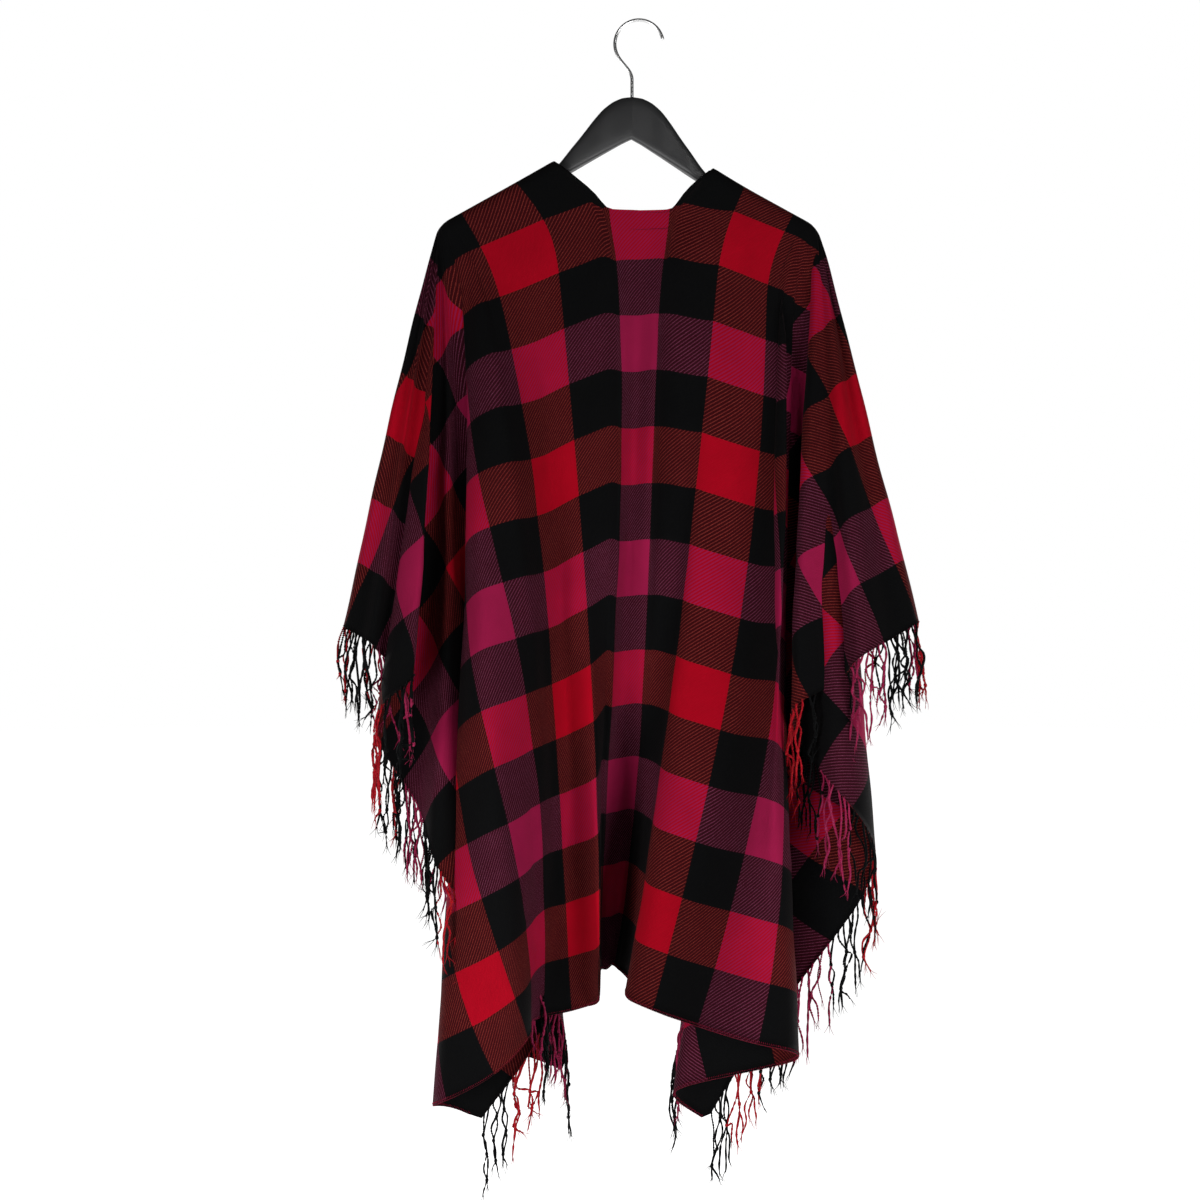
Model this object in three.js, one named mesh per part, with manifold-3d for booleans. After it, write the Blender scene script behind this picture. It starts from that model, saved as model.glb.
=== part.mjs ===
// A checked woollen-look open-front wrap (a ruana) on a black clothes hanger, seen from its back.
// The wrap is one woven length folded over the shoulders: a back, two fronts parted by a slit, a shallow
// back neck scoop, plain hems, and fringe along both side edges. Millimetres, +Z up, back facing -Y.
// The origin is the inner crown of the hook, where a rail bears.
import * as THREE from "three";
import { mergeVertices } from "three/addons/utils/BufferGeometryUtils.js";
import Module from "manifold-3d";

// ---- cloth cut ----
const CHECK_W = 74; // one check across the cloth
const CHECK_H = 67; // one check along the cloth
const HALF_W = 9.5 * CHECK_W; // centre line to a fringed side edge
const HALF_L = 14.5 * CHECK_H; // cloth's middle to each hem
const WALL = 2; // cloth thickness
const SEAM = 0.3; // gap between pieces
const NECK_HALF = 0.8 * CHECK_W; // neck point to centre line
const NECK_BACK = 0.92 * CHECK_H; // depth of the back neck scoop below the shoulder fold
const NECK_FRONT = 3.6 * CHECK_H; // where the two front neck edges meet the slit
const FRINGE = 112; // reach of the fringe
const FRINGE_WALL = 2;

// ---- drape ----
const WRAP = 32; // cloth that lies over the hanger's arm before it hangs
const LEAN_FROM = 20; // where the cloth starts to turn from its lean at the shoulder to its hang
const LEAN = 130; // length over which it turns
const ARM_SLOPE = 29; // degrees below level
const ARM_SWEEP = 0.064; // how far the arms run forward for each mm outwards
const FAN_UNIT = 700; // mm of spread given to each radian of a fan
const LEVELS = [0.13, 0.5, 1]; // yoke, middle and edge of a fold, as shares of its length
const FAN_FOOT = { L: 11, R: 8 }; // angle of the fold that forms the top of each wing, degrees from the weft

// Shoulder line: check column, x and z of the cloth there, how far the fold sits from the cloth's middle, in checks,
// and how far the cloth leans in towards the neck there, in degrees from plumb.
const SHOULDER = [
  // column,    x,      z,   fold, lean
  [-2.7, -218.4, -235.8, -0.4, 29],
  [-1.5, -140.4, -193.8, -0.55, 40],
  [-0.8, -94.8, -168.6, -0.72, 48],
  [-0.7, -68.4, -175.8, -0.6, 36],
  [-0.5, -27.6, -180.6, -0.33, 0],
  [0.0, 9.0, -181.8, -0.3, 0],
  [0.5, 45.6, -180.6, -0.3, 0],
  [0.74, 79.2, -179.4, -0.45, 30],
  [0.8, 98.4, -177.0, -0.55, 45],
  [1.5, 134.4, -198.6, -0.2, 20],
  [2.75, 208.8, -238.2, -0.05, 29],
];

// The fronts start a little wider at the neck, because the slit falls open.
const NECK_FALL = 60; // half the slit's opening at the shoulder line
const NECK_FALL_Z = { "-1": -168.6, 1: -177.0 }; // its height there, left and right
const frontShoulder = (sign) =>
  SHOULDER.filter((r) => r[0] === 0 || Math.abs(r[0]) * CHECK_W > NECK_HALF - 0.01).map((r) =>
    r[0] === 0 ? [0, sign * NECK_FALL, NECK_FALL_Z[sign], r[3], 0] : r,
  );

// Folds, in order from the left wing to the right wing. part L or R is a fan from an arm's tip, and at is the fold's
// angle in the flat cloth from the weft; part C hangs from the shoulder line, and at is its check column. The six tilts
// are degrees from plumb at the yoke, middle and edge of the fold: out to the right, then away from the shoulders.
// part, at,  right: yoke, middle, edge,  away: yoke, middle, edge
const BACK = [
  ["L",    11, -12.3, -12.3, -12.3,   0.0,   0.0,   0.0],
  ["L",    14, -11.9, -12.0, -12.1,  23.5,   6.8,   5.6],
  ["L",    17,  -9.2,  -9.5, -10.2,  21.4,   9.4,   8.1],
  ["L",    20,  -7.0,  -7.6,  -8.3,  22.4,  11.4,  10.6],
  ["L",    23,  -6.7,  -5.6,  -5.3,  18.7,   9.2,   9.3],
  ["L",    27,  -1.7,  -1.7,  -3.3,  19.4,  11.7,  11.9],
  ["L",    33,  -3.1,  -5.3,  -7.4,  15.5,  11.6,  11.8],
  ["L",    40,  -3.5,  -5.7,  -5.3,  11.4,   3.0,   3.5],
  ["L",    46,   1.9,  -2.1,  -2.6,   8.2,   2.6,   4.2],
  ["L",    50,   3.3,   0.0,  -2.1,   8.0,   6.3,   4.7],
  ["L",    54,   4.1,   3.9,   4.3,   5.3,   2.5,   0.2],
  ["L",    59,   7.7,   7.5,   5.9,   4.7,   0.8,  -0.7],
  ["L",    64,  12.8,   0.5, -10.8,   4.1,  -2.8,  -8.8],
  ["L",    69,   7.4,  -3.7,  -1.3,   2.4,   2.3,   0.5],
  ["L",    74,   3.0,  -0.3,   9.5,   7.0,   7.0, -13.9],
  ["L",    78,   1.8,   3.8,   8.8,   9.4,   9.8, -30.7],
  ["L",    84,   6.1,   6.6,  -5.0,  19.4,  -1.1, -13.8],
  ["C",  -2.7,  15.3,   4.7,   3.5,  16.2,  -5.5,  -2.9],
  ["C",  -2.1,   9.4,   4.6,   4.4,   3.9,  -2.6,  -5.6],
  ["C",  -1.5,   5.6,   4.0,  -0.7,   0.8,   1.8,  -7.5],
  ["C",    -1,   7.1,  -0.7,   1.3,   3.9,  -3.6,  -4.6],
  ["C",  -0.5,   3.6,  -2.6,  -0.5,   8.6,  -7.2, -13.7],
  ["C",     0,  -0.8,  -2.6,  -3.6,   3.1,  -8.4,  -5.6],
  ["C",   0.5,  -4.6,  -1.8, -10.1,  11.5, -10.2,  -5.9],
  ["C",     1,  -3.8,  -2.6,  -8.2,  -1.2,  -3.3,  -2.5],
  ["C",  1.55,  -5.0,  -7.3,  -9.1,   0.4,   0.6,  -2.3],
  ["C",   2.1,  -1.0,  -9.4, -14.4,  -0.3,   4.1,   1.9],
  ["C",  2.75,  -0.2,  -7.9, -17.1,   5.3,   4.2,   8.1],
  ["R",    85,   2.2,  -4.5, -13.4,  11.0,   8.2,   9.2],
  ["R",    80,  -4.8,   0.3,  -0.6,   7.2,   9.7,  10.1],
  ["R",    74,  -1.7,  -2.0,  -0.8,   3.2,   3.7,   5.7],
  ["R",    68,  -8.3,  -8.9,  -7.9,   2.6,   3.2,   5.2],
  ["R",    62,  -3.3,  -6.2,  -7.5,   2.6,  -0.7,   0.8],
  ["R",    56,   0.3,  -0.8,  -0.5,   5.7,   3.7,   3.4],
  ["R",    50,   5.6,   4.8,   3.6,   7.6,   4.3,   4.6],
  ["R",    44,  -0.1,   1.5,   1.6,   9.5,   9.9,  10.4],
  ["R",    38,  -5.0,  -2.4,   0.2,   9.6,   4.3,   6.5],
  ["R",    33,  -3.0,  -4.2,  -1.9,  14.9,   8.7,  10.8],
  ["R",    28,   1.7,   1.8,   1.6,  16.0,   7.0,   7.4],
  ["R",    24,   4.0,   3.4,   4.1,  18.2,  10.6,  11.4],
  ["R",    20,   6.8,   6.7,   7.0,  20.1,   9.4,   9.3],
  ["R",    16,   9.1,   9.7,  10.3,  17.4,   7.0,   7.3],
  ["R",    12,  12.2,  13.2,  13.6,  20.7,   3.7,   4.2],
  ["R",     8,  14.0,  14.0,  14.0,   0.0,   0.0,   0.0],
];
const FRONT_LEFT = [
  ["L",    11, -12.3, -12.3, -12.3,   0.0,   0.0,   0.0],
  ["L",    14, -12.5, -11.7, -11.8,  19.4,   4.5,   5.2],
  ["L",    18, -10.0, -10.4, -10.5,  19.7,  10.5,   8.7],
  ["L",    22,  -8.1,  -8.6,  -8.2,  21.6,  15.0,  12.8],
  ["L",    27,  -3.7,  -4.2,  -4.4,  22.3,  18.5,  16.5],
  ["L",    33,  -0.7,  -1.1,  -1.3,  17.0,  14.0,  12.7],
  ["L",    38,  -5.5,  -5.5,  -4.2,  14.4,  10.7,   9.2],
  ["L",    44,  -4.7,  -4.7,  -4.5,   9.3,   4.9,   4.2],
  ["L",    50,   0.9,   1.1,   0.1,   7.8,   3.4,   2.5],
  ["L",    55,   4.3,   5.0,   4.2,   4.5,  -0.7,   0.1],
  ["L",    61,   9.3,   8.0,   7.1,   4.5,   3.2,   3.4],
  ["L",    67,   3.0,   1.8,   2.2,   6.0,   4.2,   4.6],
  ["L",    73,   2.6,   0.3,   0.5,  12.0,   9.6,   8.6],
  ["L",    79,   6.8,   5.8,   4.5,  13.7,  12.0,   9.5],
  ["L",    85,  10.2,  10.1,   8.2,   9.8,   8.0,   8.5],
  ["C",  -2.7,   8.0,   7.6,   7.2,   3.9,   3.2,   4.9],
  ["C",  -2.2,   6.0,   7.0,   6.0,   4.1,   2.2,   6.4],
  ["C",  -1.6,   4.4,   4.4,   4.4,   6.2,   4.8,   6.9],
  ["C",    -1,   1.8,   0.1,   1.2,   9.7,   6.2,   6.3],
  ["C",  -0.5,   2.8,   0.2,   1.1,   2.9,   6.0,   6.2],
  ["C",     0,  -3.0,   1.4,   2.4,   1.8,   3.3,   5.5],
];
const FRONT_RIGHT = [
  ["C",     0,   4.0,   0.7,  -2.3,   4.5,   3.4,   4.8],
  ["C",   0.5,  -2.2,   0.3,  -1.6,   2.1,   6.1,   6.0],
  ["C",     1,  -3.1,  -1.0,  -2.1,  11.5,   6.3,   7.2],
  ["C",   1.6,  -9.7,  -4.3,  -3.4,   7.5,   6.1,   7.6],
  ["C",   2.2,  -7.8,  -7.4,  -5.6,   2.5,   3.4,   7.4],
  ["C",  2.75,  -6.1,  -7.6,  -8.4,   4.1,   3.7,   5.0],
  ["R",    86,  -8.8,  -8.9,  -8.4,   8.8,   7.7,   8.6],
  ["R",    81,  -7.1,  -5.8,  -4.7,  13.3,  11.4,   9.2],
  ["R",    75,  -2.5,   0.1,  -0.2,  12.7,  10.2,   8.5],
  ["R",    69,  -2.4,  -1.5,  -2.0,   6.4,   4.8,   5.0],
  ["R",    63,  -9.8,  -7.9,  -7.4,   4.6,   5.1,   4.9],
  ["R",    57,  -7.0,  -7.4,  -6.5,   3.5,  -0.7,   0.8],
  ["R",    51,  -1.9,  -2.0,  -1.3,   6.4,   2.1,   1.7],
  ["R",    45,   3.3,   3.2,   2.8,   8.3,   5.1,   4.5],
  ["R",    39,   3.3,   3.2,   2.0,  13.7,  11.1,   9.7],
  ["R",    34,  -1.8,  -1.3,  -1.1,  15.7,  14.0,  13.0],
  ["R",    29,   0.1,   0.3,   1.0,  20.5,  18.5,  16.9],
  ["R",    24,   5.1,   5.5,   5.6,  20.9,  17.5,  15.8],
  ["R",    20,   8.6,   8.9,   8.6,  20.9,  14.5,  12.7],
  ["R",    16,  11.5,  12.0,  11.7,  19.5,  11.0,   9.0],
  ["R",    12,  14.1,  13.3,  13.4,  19.3,   5.2,   5.9],
  ["R",     8,  14.0,  14.0,  14.0,   0.0,   0.0,   0.0],
];

// ---- hanger ----
const ARM_SPAN = 197; // centre to an arm's end
const HANGER_TILT = -1.8; // degrees, right arm lower
const WIRE = 1.9; // hook wire radius
const CROWN = { x: 8.4, r: 29 }; // middle of the hook's bend: out from the stem, and its radius to the wire's middle
const STEM_DEPTH = 22; // hook stem inside the body
const STEM_HOLE = 2.3; // its hole's radius
CROWN.z = WIRE - CROWN.r; // so that the inner crown is at z = 0
// Half of the hanger's body: distance out from the centre, top, bottom, depth front to back.
const BODY = [
  // out,   top,   bottom, depth
  [0, -91.2, -141.6, 13],
  [12, -92.6, -147.6, 14],
  [24, -98.0, -154.6, 15],
  [36, -108.0, -161.6, 17],
  [48, -122.8, -168.8, 18],
  [60, -139.4, -176.0, 19],
  [72, -155.0, -183.2, 20],
  [84, -170.6, -190.6, 17],
  [96, -183.6, -199.0, 18],
  [130, -202.0, -219.0, 25],
  [170, -225.0, -241.0, 28],
  [188, -235.0, -250.0, 28],
  [ARM_SPAN, -243.0, -250.5, 22],
];

const rad = THREE.MathUtils.degToRad;
const clamp = THREE.MathUtils.clamp;
const smooth = (x) => THREE.MathUtils.smoothstep(x, 0, 1);

// Straight-line reading of a table's column at x.
function read(table, key, column, x) {
  const n = table.length - 1;
  if (x <= table[0][key]) return table[0][column];
  if (x >= table[n][key]) return table[n][column];
  let i = 0;
  while (table[i + 1][key] < x) i++;
  const f = (x - table[i][key]) / (table[i + 1][key] - table[i][key]);
  return table[i][column] * (1 - f) + table[i + 1][column] * f;
}

// Natural cubic spline through (x, y): returns a function.
function spline(x, y) {
  const n = x.length,
    m = new Array(n).fill(0),
    c = new Array(n).fill(0),
    e = new Array(n).fill(0);
  for (let i = 1; i < n - 1; i++) {
    const h0 = x[i] - x[i - 1],
      h1 = x[i + 1] - x[i];
    const r = 6 * ((y[i + 1] - y[i]) / h1 - (y[i] - y[i - 1]) / h0);
    const w = 2 * (h0 + h1) - h0 * c[i - 1];
    c[i] = h1 / w;
    e[i] = (r - h0 * e[i - 1]) / w;
  }
  for (let i = n - 2; i > 0; i--) m[i] = e[i] - c[i] * m[i + 1];
  return (t) => {
    let i = 0;
    while (i < n - 2 && t > x[i + 1]) i++;
    const h = x[i + 1] - x[i],
      a = (x[i + 1] - t) / h,
      b = (t - x[i]) / h;
    return (
      a * y[i] +
      b * y[i + 1] +
      (((a * a * a - a) * m[i] + (b * b * b - b) * m[i + 1]) * h * h) / 6
    );
  };
}

const TIP = { L: SHOULDER[0], R: SHOULDER[SHOULDER.length - 1] };

// Where a fold stands along the shoulder: mm of cloth from the centre, or past an arm's tip into its fan.
function place(part, at) {
  if (part === "C") return at * CHECK_W;
  const out = rad(90 - at) * FAN_UNIT;
  return part === "R" ? TIP.R[0] * CHECK_W + out : TIP.L[0] * CHECK_W - out;
}

// The cloth's line of threads that starts at shoulder place s: its start in the flat cloth and in space, its direction in the flat cloth, its length.
function thread(s, shoulder, front = -1) {
  const lo = TIP.L[0] * CHECK_W,
    hi = TIP.R[0] * CHECK_W;
  const side = s > hi ? "R" : s < lo ? "L" : "C";
  const column = clamp(s, lo, hi) / CHECK_W;
  const x = read(shoulder, 0, 1, column),
    z = read(shoulder, 0, 2, column);
  const u = column * CHECK_W,
    v = read(shoulder, 0, 3, column) * CHECK_H;
  const sign = Math.sign(s) || 1;
  let phi = 90;
  if (side !== "C")
    phi = 90 - THREE.MathUtils.radToDeg((Math.abs(s - (sign > 0 ? hi : lo))) / FAN_UNIT);
  const du = side === "C" ? 0 : sign * Math.cos(rad(phi)),
    dv = side === "C" ? 1 : Math.sin(rad(phi));
  const length = Math.min(
    Math.abs(du) < 1e-6 ? Infinity : (HALF_W - Math.abs(u)) / Math.abs(du),
    (HALF_L + front * v) / dv,
  );
  const foot = FAN_FOOT[sign > 0 ? "R" : "L"];
  return {
    side, sign, column, u, v, du, dv, length, phi,
    square: rad(((phi - foot) / (90 - foot)) * 90),
    lean: rad(read(shoulder, 0, 4, column)),
    start: new THREE.Vector3(x, ARM_SWEEP * Math.abs(x), z),
  };
}

// One half of the draped cloth, from its fold table. front is 1 for the fronts (+Y) and -1 for the back.
function drape(table, front, shoulder = SHOULDER) {
  const at = table.map((r) => place(r[0], r[1]));
  const tilt = [2, 3, 4, 5, 6, 7].map((k) => spline(at, table.map((r) => r[k])));
  const level = (t) => {
    const [a, b, c] = LEVELS;
    if (t < a) return [1, 0, 0];
    return [
      ((t - b) * (t - c)) / ((a - b) * (a - c)),
      ((t - a) * (t - c)) / ((b - a) * (b - c)),
      ((t - a) * (t - b)) / ((c - a) * (c - b)),
    ];
  };
  const FINE = 96;
  // Points along thread s at the given shares of its length; shares over 1 run straight on.
  return (s, shares) => {
    const th = thread(s, shoulder, front);
    const k = tilt.map((f) => f(s));
    const c = Math.cos(rad(ARM_SLOPE)),
      n = Math.sin(rad(ARM_SLOPE));
    const first = new THREE.Vector3(th.sign * c, 0, -n)
      .multiplyScalar(Math.cos(th.square))
      .add(new THREE.Vector3(0, front * Math.sin(th.square), 0));
    const square = new THREE.Vector3(-th.sign * Math.sin(th.lean), 0, -Math.cos(th.lean));
    const g = smooth((th.phi - 55) / 35);
    const heading = (t) => {
      const w = level(Math.min(t, 1));
      const out = rad(k[0] * w[0] + k[1] * w[1] + k[2] * w[2]),
        away = rad(k[3] * w[0] + k[4] * w[1] + k[5] * w[2]);
      const hang = new THREE.Vector3(
        Math.sin(out) * Math.cos(away),
        front * Math.sin(away),
        -Math.cos(out) * Math.cos(away),
      );
      const ell = t * th.length;
      const w1 = smooth(ell / WRAP),
        w2 = smooth((ell - LEAN_FROM) / LEAN);
      const over = hang.clone().lerp(square, g);
      return first.clone().lerp(over, w1).lerp(hang, w2).normalize();
    };
    const fine = [0];
    for (let i = 1; i <= FINE; i++) fine.push((i / FINE) ** 1.6);
    const path = [th.start.clone()];
    for (let i = 1; i <= FINE; i++)
      path.push(
        heading((fine[i] + fine[i - 1]) / 2)
          .multiplyScalar((fine[i] - fine[i - 1]) * th.length)
          .add(path[i - 1]),
      );
    const last = heading(1);
    return shares.map((t) => {
      if (t >= 1) return last.clone().multiplyScalar((t - 1) * th.length).add(path[FINE]);
      let i = 0;
      while (fine[i + 1] < t) i++;
      return path[i].clone().lerp(path[i + 1], (t - fine[i]) / (fine[i + 1] - fine[i]));
    });
  };
}

// Share of thread s where the cloth begins: 0 on the shoulder fold, more under a neck edge.
function neckShare(s, front) {
  const a = Math.abs(s);
  if (a >= NECK_HALF - 1e-6) return 0;
  const th = thread(s, SHOULDER, front);
  const k = a / NECK_HALF;
  const down = front > 0 ? NECK_FRONT * (1 - k) ** 0.75 : NECK_BACK * Math.sqrt(1 - k ** 8);
  return down / th.length;
}

// A wall of even thickness on a net of points. Rows run across, columns down; a row's first points may all be one point.
function wall(net, thickness, apexRow, seamEnds) {
  const n = net.length,
    m = net[0].length;
  const normals = net.map((row, i) =>
    row.map((p, j) => {
      const jj = j;
      const a = net[Math.max(i - 1, 0)][jj],
        b = net[Math.min(i + 1, n - 1)][jj];
      const c = row[Math.max(j - 1, 0)],
        d = row[Math.min(j + 1, m - 1)];
      const v = b.clone().sub(a).cross(d.clone().sub(c));
      if (v.length() < 1e-6) return null;
      v.normalize();
      if (seamEnds && seamEnds(i, j)) v.setY(0).normalize();
      return v;
    }),
  );
  const own = (i, j) => apexRow(i, j);
  const ids = new Map(),
    points = [];
  const id = (i, j, face) => {
    [i, j] = own(i, j);
    const key = i + "," + j + "," + face;
    if (!ids.has(key)) {
      ids.set(key, points.length);
      const q = net[i][j].clone().addScaledVector(normals[i][j], (face * thickness) / 2);
      points.push(q);
    }
    return ids.get(key);
  };
  const index = [];
  const tri = (a, b, c) => {
    if (a !== b && b !== c && a !== c) index.push(a, b, c);
  };
  const quad = (a, b, c, d) => {
    tri(a, b, c);
    tri(a, c, d);
  };
  for (let i = 0; i < n - 1; i++)
    for (let j = 0; j < m - 1; j++) {
      quad(id(i, j, 1), id(i + 1, j, 1), id(i + 1, j + 1, 1), id(i, j + 1, 1));
      quad(id(i, j, -1), id(i, j + 1, -1), id(i + 1, j + 1, -1), id(i + 1, j, -1));
    }
  for (let i = 0; i < n - 1; i++) {
    quad(id(i, 0, 1), id(i, 0, -1), id(i + 1, 0, -1), id(i + 1, 0, 1));
    quad(id(i, m - 1, 1), id(i + 1, m - 1, 1), id(i + 1, m - 1, -1), id(i, m - 1, -1));
  }
  for (let j = 0; j < m - 1; j++) {
    quad(id(0, j, 1), id(0, j + 1, 1), id(0, j + 1, -1), id(0, j, -1));
    quad(id(n - 1, j, 1), id(n - 1, j, -1), id(n - 1, j + 1, -1), id(n - 1, j + 1, 1));
  }
  const g = new THREE.BufferGeometry();
  g.setAttribute("position", new THREE.Float32BufferAttribute(points.flatMap((p) => [p.x, p.y, p.z]), 3));
  g.setIndex(index);
  return outward(g);
}

// Turns a closed geometry's faces out.
function outward(g) {
  const p = g.getAttribute("position"),
    k = g.index.array;
  let volume = 0;
  const a = new THREE.Vector3(),
    b = new THREE.Vector3(),
    c = new THREE.Vector3();
  for (let i = 0; i < k.length; i += 3) {
    a.fromBufferAttribute(p, k[i]);
    b.fromBufferAttribute(p, k[i + 1]);
    c.fromBufferAttribute(p, k[i + 2]);
    volume += a.dot(b.cross(c));
  }
  if (volume < 0) for (let i = 0; i < k.length; i += 3) [k[i + 1], k[i + 2]] = [k[i + 2], k[i + 1]];
  g.computeVertexNormals();
  return g;
}

// Shoulder places at even steps between a table's folds, with the neck points among them.
function places(table, step, extra = []) {
  const at = table.map((r) => place(r[0], r[1]));
  const out = [at[0]];
  for (let i = 0; i < at.length - 1; i++) {
    const n = Math.max(1, Math.round((at[i + 1] - at[i]) / step));
    for (let j = 1; j <= n; j++) out.push(at[i] + ((at[i + 1] - at[i]) * j) / n);
  }
  const all = out.filter((s) => extra.every((e) => Math.abs(e - s) > 6)).concat(extra.filter((e) => e > at[0] - 1 && e < at[at.length - 1] + 1));
  return all.sort((a, b) => a - b);
}

const DOWN = [0, 13, 26, 42, 70, 115, 180, 265, 365, 475, 590, 700, 805, 905, 1000].map((x) => x / 1000);
const NECK_STEPS = [0.25, 0.55, 0.78, 0.9, 0.965, 0.99, 1].map((k) => k * NECK_HALF);

function half(table, front, shoulder, step) {
  const shape = drape(table, front, shoulder);
  const edge = NECK_STEPS.concat(NECK_STEPS.map((x) => -x));
  const s = places(table, step, edge);
  const lo = TIP.L[0] * CHECK_W,
    hi = TIP.R[0] * CHECK_W;
  const offset = new THREE.Vector3(0, (front * SEAM) / 2, 0);
  const net = s.map((q) => {
    const t0 = neckShare(q, front);
    return shape(q, DOWN.map((t) => t0 + (1 - t0) * t)).map((p) => p.add(offset));
  });
  // All threads of a fan start at the arm's tip.
  const tipL = s.findIndex((q) => q >= lo - 1e-6),
    tipR = s.length - 1 - [...s].reverse().findIndex((q) => q <= hi + 1e-6);
  const apex = (i, j) => (j > 0 ? [i, j] : i < tipL && s[0] < lo ? [tipL, 0] : i > tipR && s[s.length - 1] > hi ? [tipR, 0] : [i, 0]);
  const seam = (i, j) => (i === 0 && s[0] < lo) || (i === s.length - 1 && s[s.length - 1] > hi) || j === 0 && Math.abs(s[i]) >= NECK_HALF - 1e-6;
  return { geometry: wall(net, WALL, apex, seam), clear: wall(net, WALL + 8 * SEAM, apex, seam), shape, s, offset };
}

// Fringe along one side edge: the reach of its strands, hanging on from the cloth's edge and kept clear of its folds, which can part it in two.
function fringe(h, side, front) {
  const corner = THREE.MathUtils.radToDeg(
    Math.atan2(HALF_L + front * TIP[side][3] * CHECK_H, HALF_W - Math.abs(TIP[side][0]) * CHECK_W),
  );
  const end = place(side, corner);
  let s = h.s.filter((q) => (side === "R" ? q >= end - 1e-6 : q <= end + 1e-6));
  if (side === "R") s = [end, ...s.filter((q) => q > end + 5)];
  else s = [...s.filter((q) => q < end - 5), end];
  const net = s.map((q) => {
    const { length } = thread(q, SHOULDER, front);
    return h.shape(q, [0, 0.25, 0.6, 1].map((k) => 1 + (2 + k * FRINGE) / length)).map((p) => p.add(h.offset));
  });
  const strip = (a, b) =>
    wall(net.slice(a, b + 1), FRINGE_WALL, (i, j) => [i, j], (i) => (side === "R" ? a + i === s.length - 1 : a + i === 0));
  // Strips that a fold of the cloth runs through are left out, so the fringe can be in two runs.
  const cloth = solid(h.clear);
  const runs = [];
  let from = 0;
  for (let i = 0; i < s.length; i++) {
    if (i < s.length - 1 && solid(strip(i, i + 1)).intersect(cloth).volume() < 1e-6) continue;
    if (i - from > 1) runs.push(strip(from, i));
    from = i + 1;
  }
  const top = (g) => (g.computeBoundingBox(), g.boundingBox.max.z);
  return runs.sort((a, b) => top(b) - top(a));
}

function hangerBody() {
  const N = 20;
  const stations = [...BODY.slice(1).reverse().map((r) => [-r[0], ...r.slice(1)]), ...BODY];
  const points = [],
    index = [];
  for (const [x, top, bottom, depth] of stations)
    for (let i = 0; i < N; i++) {
      const a = (i / N) * Math.PI * 2;
      const c = Math.cos(a),
        n = Math.sin(a);
      points.push(
        x,
        ARM_SWEEP * Math.abs(x) + (Math.sign(c) * Math.abs(c) ** 0.8 * depth) / 2,
        (top + bottom) / 2 + (Math.sign(n) * Math.abs(n) ** 0.8 * (top - bottom)) / 2,
      );
    }
  const rings = stations.length;
  for (let k = 0; k < rings - 1; k++)
    for (let i = 0; i < N; i++) {
      const a = k * N + i,
        b = k * N + ((i + 1) % N);
      index.push(a, b, b + N, a, b + N, a + N);
    }
  for (const k of [0, rings - 1]) {
    const centre = points.length / 3;
    const [x, top, bottom] = stations[k];
    points.push(x + (k ? 4 : -4), ARM_SWEEP * Math.abs(x), (top + bottom) / 2);
    for (let i = 0; i < N; i++) {
      const a = k * N + i,
        b = k * N + ((i + 1) % N);
      if (k) index.push(a, b, centre);
      else index.push(b, a, centre);
    }
  }
  const g = new THREE.BufferGeometry();
  g.setAttribute("position", new THREE.Float32BufferAttribute(points, 3));
  g.setIndex(index);
  g.translate(0, 0, 115).rotateY(rad(-HANGER_TILT)).translate(0, 0, -115);
  return outward(g);
}

// The hook: a stem, a bend out to the left, and a round crown open to the right.
class HookPath extends THREE.Curve {
  constructor(bottom) {
    super();
    const turn = rad(200);
    const join = new THREE.Vector3(CROWN.x + CROWN.r * Math.cos(turn), 0, CROWN.z + CROWN.r * Math.sin(turn));
    this.parts = new THREE.CurvePath();
    this.parts.add(new THREE.LineCurve3(new THREE.Vector3(0, 0, bottom), new THREE.Vector3(0, 0, -70)));
    this.parts.add(
      new THREE.CubicBezierCurve3(
        new THREE.Vector3(0, 0, -70),
        new THREE.Vector3(0, 0, -57),
        join.clone().add(new THREE.Vector3(5, 0, -14)),
        join,
      ),
    );
    const arc = new THREE.Curve();
    arc.getPoint = (t) => {
      const a = turn - t * rad(188);
      return new THREE.Vector3(CROWN.x + CROWN.r * Math.cos(a), 0, CROWN.z + CROWN.r * Math.sin(a));
    };
    this.parts.add(arc);
  }
  getPoint(t) {
    return this.parts.getPoint(t);
  }
}

function circle(radius, sides) {
  const shape = new THREE.Shape();
  for (let i = 0; i < sides; i++) {
    const a = (i / sides) * Math.PI * 2;
    if (i) shape.lineTo(radius * Math.cos(a), radius * Math.sin(a));
    else shape.moveTo(radius, 0);
  }
  shape.closePath();
  return shape;
}

function bare(geometry) {
  const g = geometry.clone();
  g.deleteAttribute("normal");
  g.deleteAttribute("uv");
  return mergeVertices(g, 1e-4);
}

const wasm = await Module();
wasm.setup();
function solid(geometry) {
  const g = bare(geometry);
  return new wasm.Manifold(
    new wasm.Mesh({ numProp: 3, vertProperties: g.getAttribute("position").array, triVerts: new Uint32Array(g.index.array) }),
  );
}
function shell(manifold) {
  const m = manifold.getMesh(),
    g = new THREE.BufferGeometry();
  const v = new Float32Array(m.numVert * 3);
  for (let i = 0; i < m.numVert; i++) v.set(m.vertProperties.subarray(i * m.numProp, i * m.numProp + 3), i * 3);
  g.setAttribute("position", new THREE.BufferAttribute(v, 3));
  g.setIndex(new THREE.BufferAttribute(m.triVerts, 1));
  g.computeVertexNormals();
  return g;
}

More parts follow.
